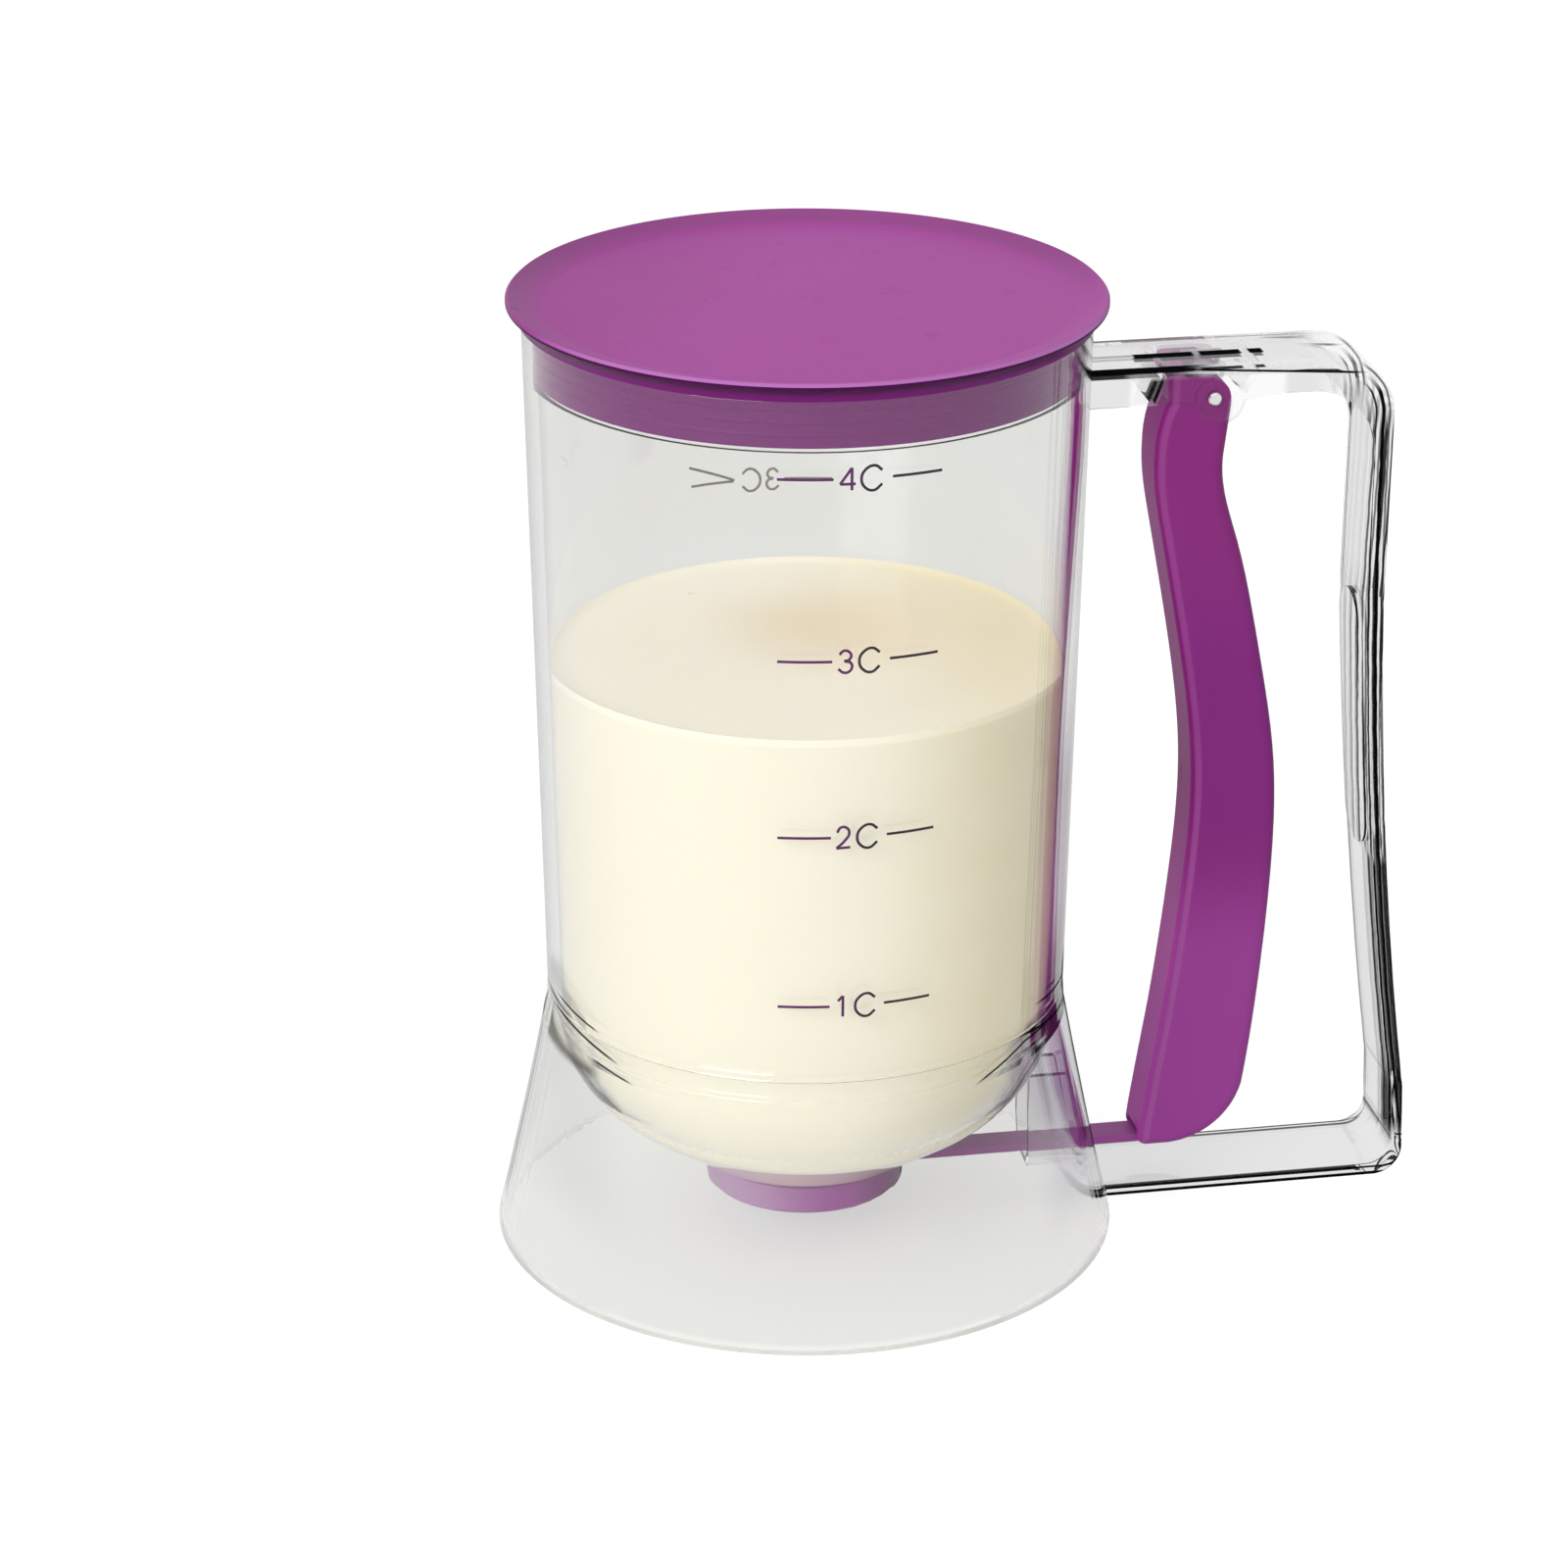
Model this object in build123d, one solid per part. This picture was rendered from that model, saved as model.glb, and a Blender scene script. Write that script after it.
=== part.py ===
from build123d import *
import os
from math import atan2, cos, degrees, hypot, radians, sin, tan

# Pancake batter dispenser. Millimetres, +Z up. The origin is the centre of the base rim,
# on the surface it stands on. +X points to the handle, and -Y is the side with the cup marks.

# ---- Fits -------------------------------------------------------------------------------
JOINT_GAP = 0.05        # between clear parts that are pressed and bonded together
RUNNING_GAP = 0.05      # radial, a pin in the bore that turns on it
SEAT_GAP = 0.02         # radial, a pin in the bore that holds it
SLIDE_GAP = 0.25        # each side of a piece that slides
LOOSE_GAP = 0.3         # between neighbours that only pass each other
CUT_MARGIN = 1.0        # how far a cut runs past the face it opens

# ---- Container --------------------------------------------------------------------------
RIM_Z = 176.0
SEAM_Z = 49.0
SEAM_R = 47.6
WALL_FLARE = 2.65       # how much wider the rim is than the seam
WALL = 2.6
MOUTH_WALL = 1.8
MOUTH_DEPTH = 9.6
RIM_EDGE_R = 0.45
SPIGOT_STEP = 1.2
SPIGOT_H = 4.4
FUNNEL_STEP = 1.8
FUNNEL_WALL = 1.5
FUNNEL_SLOPE = radians(34.7)
FUNNEL_BAND = 3.68      # upright stretch between the funnel's bend and the seam
NECK_STEP = 0.1
SPOUT_R = 16.0
SPOUT_H = 2.0
SPOUT_LIFT = 0.4
SPOUT_BORE_R = 7.0
FLOOR_T = 1.0
FLOOR_RISE = 0.4
POCKET_WALL = 1.5
POCKET_RIM = 1.6
POCKET_DEPTH = 1.4
BEAD_H = 0.7
BEAD_OUT = 0.35

# ---- Base skirt -------------------------------------------------------------------------
SKIRT_BASE_R = 57.5
SKIRT_BOW = 0.3         # how far the flare bends in from a straight cone
SKIRT_STEP = 0.3
SKIRT_WALL = 1.8
GUIDE_DEPTH = 5.6
GUIDE_H = 14.8
GUIDE_WALL = 1.3
GUIDE_SIDE_GAP = 0.8
GUIDE_FLOOR_GAP = 0.9
GUIDE_ROOF_GAP = 1.5

# ---- Valve cap, seal and gate -----------------------------------------------------------
CAP_FLOOR_Z = 8.1
CAP_FLOOR_T = 1.35
CAP_WALL = 2.8
CAP_TAPER = 0.4
CAP_EDGE = 0.6
OUTLET_STEP = 1.0
RAIL_WALL = 1.5
SEAL_STEP = 0.6
SEAL_W = 1.6
SEAL_H = 1.0
SEAL_PROUD = 0.18
GATE_T = 1.5
TONGUE_SIDE_LAP = 1.0
TONGUE_FRONT_LAP = 2.0
TONGUE_BACK_LAP = 2.5
TONGUE_CORNER_R = 3.0
TONGUE_TAPER = 5.0
ARM_W = 5.6
LUG_T = 3.4
LUG_WALL = 1.7

# ---- Handle frame -----------------------------------------------------------------------
FRAME_TOP_W = 16.4
FRAME_FOOT_W = 19.0
CHEEK_INSIDE_W = 14.0
FRAME_DROP = 11.0       # from the container's rim to the handle's top
FRAME_FOOT_Z = 2.0
FRAME_ROOT_DEPTH = 7.6
TOP_WEB_T = 2.2
FOOT_WEB_T = 2.15
FRAME_HEEL_X = 113.9
FRAME_SHOULDER_IN = 8.4
GRIP_HEIGHTS = (118.0, 71.0, 20.0)
GRIP_OUTER_IN = (8.85, 6.3, 0.6)
GRIP_INNER_IN = (12.1, 8.7, 2.7)
GRIP_TOP_IN = 11.8
HEEL_INNER_IN = 2.0
SHOULDER_R = 11.2
SHOULDER_INNER_R = 10.0
HEEL_R = 5.5
HEEL_INNER_R = 5.0
CHEEK_EDGE_DROP = 7.2
CHEEK_END_DROP = 25.0
ARCH_DROP = 6.2
ARCH_RUN = 8.0
ARCH_FLAT = 4.1
ARCH_R = 12.0
ARCH_FULLNESS = 0.7
EAR_OFFSET = (1.0, -0.2)
EAR_R = 4.5
CROSS_RIB_T = 1.2
FRONT_RIB = ((-9.3, -1.8), (-11.3, -7.0))   # ends, from the pivot's x and the handle's top
REAR_RIB = ((7.9, -1.8), (5.4, -6.0))
PAD_TOP_Z = 118.0
PAD_BOTTOM_Z = 67.5
PAD_W = 11.6
PAD_RISE = 1.0

# ---- Trigger and its pins ---------------------------------------------------------------
PIVOT_X = 72.2
PIVOT_DROP = 6.7
PIN_R = 1.2
PIN_CHAMFER = 0.24
LINK_IN = 1.5
LINK_LIFT = 3.4
TRIGGER_TRAVEL = radians(6.3)
TRIGGER_W = 13.2
TRIGGER_WALL = 1.6
TRIGGER_FRONT_WALL = 1.8
TRIGGER_RISE = 3.6
TRIGGER_FOOT_LIFT = 0.2
NECK_FRONT = (-7.7, -1.1)
NECK_REAR = ((3.8, -2.8), (3.5, 0.0))
CREST_X = -0.1
SHOULDER_BULGE = (-9.3, -5.7)
# Points of the lever's two long curves: x from the pivot, and the share of the height from sole to pivot.
TRIGGER_FRONT = (
    (-9.9, 0.924), (-8.4, 0.831), (-4.1, 0.675), (-1.2, 0.513), (-2.4, 0.344), (-5.4, 0.1745), (-8.7, 0.0276))
TRIGGER_REAR = (
    (10.8, 0.078), (13.1, 0.2055), (14.8, 0.366), (14.4, 0.526), (11.0, 0.663), (5.7, 0.818), (2.8, 0.924))
FRONT_END_SLOPES = ((-0.05, -1), (-0.14, -1))
REAR_END_SLOPES = ((0.16, 1), (0.1, 1))
TOE_X = -9.2
SOLE_END_X = -4.7
SOLE_BEND = (6.6, 4.3)
TOE_R = 1.4
FRONT_EDGE_R = 2.2
BOSS_R = 3.2
BOSS_GAP_W = 6.4
BOSS_SIDE_GAP = 0.25
SPRING_BAY_IN = 4.8
SPRING_BAY_DROP = 4.3
SOCKET_DEPTH = 0.9
RIB_T = 1.4
RIB_SETBACK = 4.0
RIB_COUNT = 5
NOTCH_TOP_GAP = 1.2

# ---- Return spring ----------------------------------------------------------------------
WIRE_R = 0.45
COIL_R = 2.25
COIL_PITCH = 1.15
COIL_TURNS = 4
UPPER_LEG_X = 6.0
UPPER_KICK = 1.0
LOWER_KICK = (1.5, 4.0)
LOWER_LEG = (-7.55, -11.8)

# ---- Lid --------------------------------------------------------------------------------
LID_RIM_OUT = 2.65
LID_RISE = 3.65
LID_PANEL_RISE = 1.9
LID_PANEL_IN = 3.75
LID_PANEL_T = 1.5
LID_SEAT_OUT = 0.65
LID_LIP_T = 1.0
LID_UNDERCUT = 0.2
LID_DISH = 0.3
PLUG_DEPTH = 8.9
PLUG_WALL = 1.6
PLUG_GAP = 0.32
PLUG_RIB_GAP = 0.1
PLUG_RIB_H = 0.8
PLUG_RIB_DEPTHS = (2.2, 4.4, 6.6)

# ---- Batter -----------------------------------------------------------------------------
BATTER_Z = 113.1
BATTER_GAP = 0.25

# ---- Worked out from the sizes above ----------------------------------------------------
CAP_WELL_Z = CAP_FLOOR_Z + CAP_FLOOR_T
GATE_Z = CAP_WELL_Z + SLIDE_GAP
GATE_TOP_Z = GATE_Z + GATE_T
SPOUT_Z = GATE_TOP_Z + SPOUT_LIFT
NECK_Z = SPOUT_Z + SPOUT_H
FLOOR_Z = NECK_Z + FLOOR_T
CAP_TOP_Z = NECK_Z - JOINT_GAP
CAP_TOP_R = SPOUT_R + CAP_WALL
CAP_BOTTOM_R = CAP_TOP_R - CAP_TAPER
NECK_R = CAP_TOP_R + NECK_STEP
OUTLET_R = SPOUT_BORE_R - OUTLET_STEP
SEAL_INNER_R = SPOUT_BORE_R + SEAL_STEP
SEAL_OUTER_R = SEAL_INNER_R + SEAL_W
POCKET_INNER_R = SEAL_OUTER_R + POCKET_WALL
POCKET_OUTER_R = SPOUT_R - POCKET_RIM
TONGUE_W = 2 * (SPOUT_BORE_R + TONGUE_SIDE_LAP)
TONGUE_FRONT_X = -(SPOUT_BORE_R + TONGUE_FRONT_LAP)
TONGUE_BACK_X = SPOUT_BORE_R + TONGUE_BACK_LAP
RIM_R = SEAM_R + WALL_FLARE
SPIGOT_R = SEAM_R - SPIGOT_STEP
FUNNEL_R = SEAM_R - FUNNEL_STEP
FUNNEL_CORNER_Z = NECK_Z + (FUNNEL_R - NECK_R) * tan(FUNNEL_SLOPE)
FUNNEL_BEND_R = (SEAM_Z - FUNNEL_BAND - FUNNEL_CORNER_Z) / tan((radians(90) - FUNNEL_SLOPE) / 2)
MOUTH_LEDGE_Z = RIM_Z - MOUTH_DEPTH
SKIRT_SHOULDER_R = SEAM_R + SKIRT_STEP
SKIRT_SHOULDER_Z = SEAM_Z - SPIGOT_H
SKIRT_MID_R = (SKIRT_BASE_R + SKIRT_SHOULDER_R) / 2 - SKIRT_BOW
SKIRT_MID_Z = SKIRT_SHOULDER_Z / 2
GUIDE_INNER_X = SEAM_R - GUIDE_DEPTH
GUIDE_TOP_Z = GATE_TOP_Z + GUIDE_H
FRAME_TOP_Z = RIM_Z - FRAME_DROP
FRAME_ROOT_X = SEAM_R - FRAME_ROOT_DEPTH
FRAME_SHOULDER_X = FRAME_HEEL_X - FRAME_SHOULDER_IN
GRIP_INNER_TOP_X = FRAME_HEEL_X - GRIP_TOP_IN
HEEL_INNER_X = FRAME_HEEL_X - HEEL_INNER_IN
GRIP_OUTER = [(FRAME_HEEL_X - inset, z) for inset, z in zip(GRIP_OUTER_IN, GRIP_HEIGHTS)]
GRIP_INNER = [(FRAME_HEEL_X - inset, z) for inset, z in zip(GRIP_INNER_IN, GRIP_HEIGHTS)]
CHEEK_EDGE_Z = FRAME_TOP_Z - CHEEK_EDGE_DROP
CHEEK_END_Z = FRAME_TOP_Z - CHEEK_END_DROP
ARCH_Z = FRAME_TOP_Z - ARCH_DROP
ARCH_END_X = GRIP_INNER_TOP_X - ARCH_R - ARCH_FLAT
ARCH_START_X = ARCH_END_X - ARCH_RUN
PIVOT_Z = FRAME_TOP_Z - PIVOT_DROP
LINK_X = PIVOT_X - LINK_IN
LINK_Z = GATE_TOP_Z + LINK_LIFT
TRIGGER_TOP_Z = PIVOT_Z + TRIGGER_RISE
TRIGGER_FOOT_Z = GATE_Z + TRIGGER_FOOT_LIFT
LID_RIM_R = RIM_R + LID_RIM_OUT
LID_SEAT_R = RIM_R + LID_SEAT_OUT
LID_PANEL_R = RIM_R - LID_PANEL_IN
LID_RIM_Z = RIM_Z + LID_RISE
LID_PANEL_Z = RIM_Z + LID_PANEL_RISE
LINK_RADIUS = hypot(LINK_X - PIVOT_X, PIVOT_Z - LINK_Z)
LINK_REST_ANGLE = atan2(LINK_X - PIVOT_X, PIVOT_Z - LINK_Z)
GATE_STROKE = LINK_RADIUS * (sin(LINK_REST_ANGLE + TRIGGER_TRAVEL) - sin(LINK_REST_ANGLE))
LINK_RISE = LINK_RADIUS * (cos(LINK_REST_ANGLE) - cos(LINK_REST_ANGLE + TRIGGER_TRAVEL))

FOOT = (Align.CENTER, Align.CENTER, Align.MIN)  # a cylinder that stands on its position


def body_r(z):
    """Outer radius of the container's tapered wall at height z."""
    return SEAM_R + (RIM_R - SEAM_R) * (z - SEAM_Z) / (RIM_Z - SEAM_Z)


def turned(profile):
    """A profile drawn as (radius, height), turned about the vertical axis."""
    return revolve(Plane.XZ * profile, Axis.Z)


def outline(*points):
    """A closed face through corner points."""
    return make_face(Polyline(*points, close=True))


def round_corner(face, point, radius):
    """The face with the corner nearest to the point rounded."""
    corner = face.vertices().sort_by_distance(Vector(*point))[0]
    return fillet(corner, radius)


def slab(face, low_y, high_y):
    """A face drawn as (x, z), made solid between two values of y."""
    return Plane.XZ.offset(-high_y) * extrude(face, high_y - low_y)


def plate(x_low, x_high, y_half, z_low, z_high):
    """A block centred on y = 0."""
    size = (x_high - x_low, 2 * y_half, z_high - z_low)
    return Pos((x_low + x_high) / 2, 0, (z_low + z_high) / 2) * Box(*size)


def rod_y(x, z, radius, low_y, high_y):
    """A round rod along y."""
    return slab(Pos(x, z) * Circle(radius), low_y, high_y)


def ring(outer_r, inner_r, z_low, z_high):
    """A plain ring about the vertical axis."""
    return turned(outline((inner_r, z_low), (outer_r, z_low), (outer_r, z_high), (inner_r, z_high)))


def funnel_face(radius, neck_r, neck_z, top_r, top_z, bend_r, floor):
    """Half section of a funnel bowl: a floor, a cone, a bend and a nearly upright wall."""
    corner = (radius, neck_z + (radius - neck_r) * tan(FUNNEL_SLOPE))
    face = outline(*floor, (neck_r, neck_z), corner, (top_r, top_z), (0, top_z))
    return round_corner(face, corner, bend_r)


def inner_face(inset, top_z):
    """Half section of the space inside the container, drawn in by an inset, up to top_z."""
    wall = FUNNEL_WALL + inset
    line_r = NECK_R - wall * sin(FUNNEL_SLOPE)
    line_z = NECK_Z + wall * cos(FUNNEL_SLOPE)
    floor_z = FLOOR_Z + inset
    floor_r = line_r - (line_z - floor_z) / tan(FUNNEL_SLOPE)
    floor = ((0, floor_z - FLOOR_RISE), (SPOUT_BORE_R, floor_z - FLOOR_RISE))
    bend_r = FUNNEL_BEND_R - wall
    bowl = funnel_face(FUNNEL_R - wall, floor_r, floor_z, SEAM_R - WALL - inset, SEAM_Z, bend_r, floor)
    top_r = body_r(top_z) - WALL - inset
    return bowl + outline((0, SEAM_Z), (SEAM_R - WALL - inset, SEAM_Z), (top_r, top_z), (0, top_z))


def container():
    """The clear cup: tapered wall, stepped foot for the skirt, funnel bowl and spout."""
    floor = ((0, NECK_Z),)
    bowl = turned(funnel_face(FUNNEL_R, NECK_R, NECK_Z, FUNNEL_R, SEAM_Z, FUNNEL_BEND_R, floor))
    wall = turned(outline((0, SEAM_Z), (SEAM_R, SEAM_Z), (RIM_R, RIM_Z), (0, RIM_Z)))
    spigot = Pos(0, 0, SEAM_Z - SPIGOT_H) * Cylinder(SPIGOT_R, SPIGOT_H, align=FOOT)
    spout = Pos(0, 0, SPOUT_Z) * Cylinder(SPOUT_R, SPOUT_H, align=FOOT)
    bead_z = (SPOUT_Z + NECK_Z - BEAD_H) / 2
    bead = Pos(0, 0, bead_z) * Cylinder(SPOUT_R + BEAD_OUT, BEAD_H, align=FOOT)
    mouth_r = body_r(MOUTH_LEDGE_Z) - MOUTH_WALL
    mouth = turned(outline(
        (0, MOUTH_LEDGE_Z), (mouth_r, MOUTH_LEDGE_Z), (RIM_R - MOUTH_WALL, RIM_Z), (0, RIM_Z)))
    bore = Pos(0, 0, SPOUT_Z) * Cylinder(SPOUT_BORE_R, FLOOR_Z - SPOUT_Z, align=FOOT)
    pocket = ring(POCKET_OUTER_R, POCKET_INNER_R, SPOUT_Z, SPOUT_Z + POCKET_DEPTH)
    groove = ring(SEAL_OUTER_R + JOINT_GAP, SEAL_INNER_R - JOINT_GAP, SPOUT_Z, SPOUT_Z + SEAL_H - SEAL_PROUD)
    shape = bowl + wall + spigot + spout + bead
    shape = shape - turned(inner_face(0, MOUTH_LEDGE_Z)) - mouth - bore - groove - pocket
    rim_edges = shape.edges().filter_by(GeomType.CIRCLE).group_by(Axis.Z)[-1]
    return fillet(rim_edges, RIM_EDGE_R)


def skirt_shell():
    """The flared stand ring with its collar round the container's spigot."""
    top_z = SEAM_Z - JOINT_GAP
    collar_r = SPIGOT_R + JOINT_GAP
    collar_z = SKIRT_SHOULDER_Z - SKIRT_WALL
    base, middle = (SKIRT_BASE_R, 0), (SKIRT_MID_R, SKIRT_MID_Z)
    shoulder = (SKIRT_SHOULDER_R, SKIRT_SHOULDER_Z)
    in_base, in_middle = (SKIRT_BASE_R - SKIRT_WALL, 0), (SKIRT_MID_R - SKIRT_WALL, SKIRT_MID_Z)
    edges = [
        ThreePointArc(base, middle, shoulder),
        Polyline(shoulder, (SEAM_R, top_z), (collar_r, top_z), (collar_r, collar_z)),
        ThreePointArc((collar_r, collar_z), in_middle, in_base),
        Line(in_base, base),
    ]
    return turned(make_face(edges))


def skirt_solid(gap):
    """The skirt's outer shape, filled and grown by a gap, for trimming what meets it."""
    base, middle = (SKIRT_BASE_R + gap, 0), (SKIRT_MID_R + gap, SKIRT_MID_Z)
    shoulder = (SKIRT_SHOULDER_R + gap, SKIRT_SHOULDER_Z)
    edges = [
        Line((0, 0), base),
        ThreePointArc(base, middle, shoulder),
        Polyline(shoulder, (SEAM_R + gap, SEAM_Z), (0, SEAM_Z), (0, 0)),
    ]
    return turned(make_face(edges))


def base_skirt():
    """The stand ring with the arm's slot and the guide trough inside it."""
    lane = ARM_W / 2 + GUIDE_SIDE_GAP
    floor_top = GATE_Z - GUIDE_FLOOR_GAP
    outer_x = SKIRT_BASE_R
    block = plate(GUIDE_INNER_X, outer_x, lane + GUIDE_WALL, floor_top - GUIDE_WALL, GUIDE_TOP_Z)
    channel = plate(GUIDE_INNER_X, outer_x, lane, floor_top, GUIDE_TOP_Z)
    guide = (block - channel) & skirt_solid(0)
    slot = plate(GUIDE_INNER_X, outer_x + CUT_MARGIN, lane, floor_top, GATE_TOP_Z + GUIDE_ROOF_GAP)
    return skirt_shell() + guide - slot


def from_pivot(offset):
    """The place at an (x, z) offset from the pivot's axis."""
    return Pos(PIVOT_X + offset[0], PIVOT_Z + offset[1])


def loop_face(top_z, shoulder_x, grip, heel_x, foot_z, shoulder_r, heel_r):
    """One outline of the handle as a filled (x, z) face that starts inside the cup."""
    shoulder, heel = (shoulder_x, top_z), (heel_x, foot_z)
    edges = [
        Polyline(grip[2], heel, (FRAME_ROOT_X, foot_z), (FRAME_ROOT_X, top_z), shoulder, grip[0]),
        ThreePointArc(*grip),
    ]
    face = round_corner(make_face(edges), shoulder, shoulder_r)
    return round_corner(face, heel, heel_r)


def cheek_face():
    """Side outline of one cheek: the strip under the top web, the arch and the pivot ear."""
    low_z = CHEEK_END_Z - CUT_MARGIN
    root_x = FRAME_ROOT_X - CUT_MARGIN
    corner = (GRIP_INNER_TOP_X, ARCH_Z)
    arch_middle = ((ARCH_START_X + ARCH_END_X) / 2, CHEEK_EDGE_Z + (ARCH_Z - CHEEK_EDGE_Z) * ARCH_FULLNESS)
    edges = [
        ThreePointArc((ARCH_START_X, CHEEK_EDGE_Z), arch_middle, (ARCH_END_X, ARCH_Z)),
        Polyline(
            (ARCH_END_X, ARCH_Z), corner, (GRIP_INNER_TOP_X, low_z), (root_x, low_z),
            (root_x, CHEEK_EDGE_Z), (ARCH_START_X, CHEEK_EDGE_Z)),
    ]
    window = round_corner(make_face(edges), corner, ARCH_R)
    middle_z = (CHEEK_END_Z + FRAME_TOP_Z) / 2
    strip = Pos(FRAME_HEEL_X, middle_z) * Rectangle(2 * FRAME_HEEL_X, FRAME_TOP_Z - CHEEK_END_Z)
    return (frame_outer() & strip) - window + from_pivot(EAR_OFFSET) * Circle(EAR_R)


def frame_outer():
    """The handle's outer outline, filled."""
    return loop_face(
        FRAME_TOP_Z, FRAME_SHOULDER_X, GRIP_OUTER, FRAME_HEEL_X, FRAME_FOOT_Z, SHOULDER_R, HEEL_R)


def frame_inner():
    """The inner outline of the handle's web, filled."""
    return loop_face(
        FRAME_TOP_Z - TOP_WEB_T, GRIP_INNER_TOP_X, GRIP_INNER, HEEL_INNER_X,
        FRAME_FOOT_Z + FOOT_WEB_T, SHOULDER_INNER_R, HEEL_INNER_R)


def slanted_rib(ends, y_half):
    """A thin wall between the cheeks, along a line in the (x, z) plane."""
    (x1, z1), (x2, z2) = [(PIVOT_X + x, FRAME_TOP_Z + z) for x, z in ends]
    length = hypot(x2 - x1, z2 - z1)
    turn = degrees(atan2(z2 - z1, x2 - x1))
    face = Pos((x1 + x2) / 2, (z1 + z2) / 2) * Rot(0, 0, turn) * Rectangle(length, CROSS_RIB_T)
    return slab(face, -y_half, y_half)


def palm_pad():
    """The raised pad with round ends on the inside of the grip."""
    middle_z = (PAD_TOP_Z + PAD_BOTTOM_Z) / 2
    strip = Pos(0, middle_z) * SlotOverall(PAD_TOP_Z - PAD_BOTTOM_Z, PAD_W, rotation=90)
    column = Plane.YZ * extrude(strip, FRAME_HEEL_X)
    band = frame_outer() - Pos(-PAD_RISE, 0) * frame_inner()
    return column & slab(band, -PAD_W, PAD_W) & plate(ARCH_END_X, FRAME_HEEL_X, PAD_W, 0, RIM_Z)


def frame_taper():
    """A tall wedge that narrows upwards and trims the handle's two sides."""
    foot, top = FRAME_FOOT_W / 2, FRAME_TOP_W / 2
    face = outline((-foot, FRAME_FOOT_Z), (foot, FRAME_FOOT_Z), (top, FRAME_TOP_Z), (-top, FRAME_TOP_Z))
    return Plane.YZ * extrude(face, FRAME_HEEL_X)


def handle_frame():
    """The clear handle: web, two cheeks with ears, cross ribs and palm pad."""
    half = FRAME_FOOT_W / 2
    inside = CHEEK_INSIDE_W / 2
    web = slab(frame_outer() - frame_inner(), -half, half)
    cheek = cheek_face()
    cheeks = slab(cheek, -half, -inside) + slab(cheek, inside, half)
    ribs = slanted_rib(FRONT_RIB, inside) + slanted_rib(REAR_RIB, inside)
    shape = (web + cheeks + ribs + palm_pad()) & frame_taper()
    cup = turned(outline((0, SEAM_Z), (SEAM_R + JOINT_GAP, SEAM_Z), (RIM_R + JOINT_GAP, RIM_Z), (0, RIM_Z)))
    root = plate(0, SEAM_R - CUT_MARGIN, half, 0, RIM_Z)
    shape = shape - cup - skirt_solid(JOINT_GAP) - root
    return shape - rod_y(PIVOT_X, PIVOT_Z, PIN_R + SEAT_GAP, -half, half)


def lid():
    """The press-in lid: a shallow dish with a thin flared rim and a ribbed plug."""
    seat_z = RIM_Z + JOINT_GAP
    foot_z = RIM_Z - PLUG_DEPTH
    plug_r = body_r(foot_z) - MOUTH_WALL - PLUG_GAP
    plug_in_r = plug_r - PLUG_WALL
    panel_low = LID_PANEL_Z - LID_PANEL_T
    rim_low = (LID_RIM_R, LID_RIM_Z - LID_LIP_T)
    rise = LID_RIM_Z - LID_PANEL_Z
    under_middle = ((LID_SEAT_R + LID_RIM_R) / 2 - LID_UNDERCUT, (seat_z + rim_low[1]) / 2 + LID_UNDERCUT)
    top_edge = (LID_RIM_R - LID_LIP_T / 2, LID_RIM_Z)
    top_middle = ((LID_PANEL_R + top_edge[0]) / 2, LID_PANEL_Z + rise * LID_DISH)
    edges = [
        Polyline((LID_PANEL_R, LID_PANEL_Z), (0, LID_PANEL_Z), (0, panel_low), (plug_in_r, panel_low)),
        Polyline((plug_in_r, panel_low), (plug_in_r, foot_z), (plug_r, foot_z)),
        Polyline((plug_r, foot_z), (plug_r, seat_z), (LID_SEAT_R, seat_z)),
        ThreePointArc((LID_SEAT_R, seat_z), under_middle, rim_low),
        Polyline(rim_low, (LID_RIM_R, LID_RIM_Z - LID_LIP_T / 2), top_edge),
        ThreePointArc(top_edge, top_middle, (LID_PANEL_R, LID_PANEL_Z)),
    ]
    shape = turned(make_face(edges))
    for depth in PLUG_RIB_DEPTHS:
        z = RIM_Z - depth
        rib_r = body_r(z - PLUG_RIB_H) - MOUTH_WALL - PLUG_RIB_GAP
        low, high = z - PLUG_RIB_H / 2, z + PLUG_RIB_H / 2
        inner_r = plug_r - PLUG_WALL / 2
        rib = outline((inner_r, low), (plug_r, low), (rib_r, z), (plug_r, high), (inner_r, high))
        shape = shape + turned(rib)
    return shape


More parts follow.
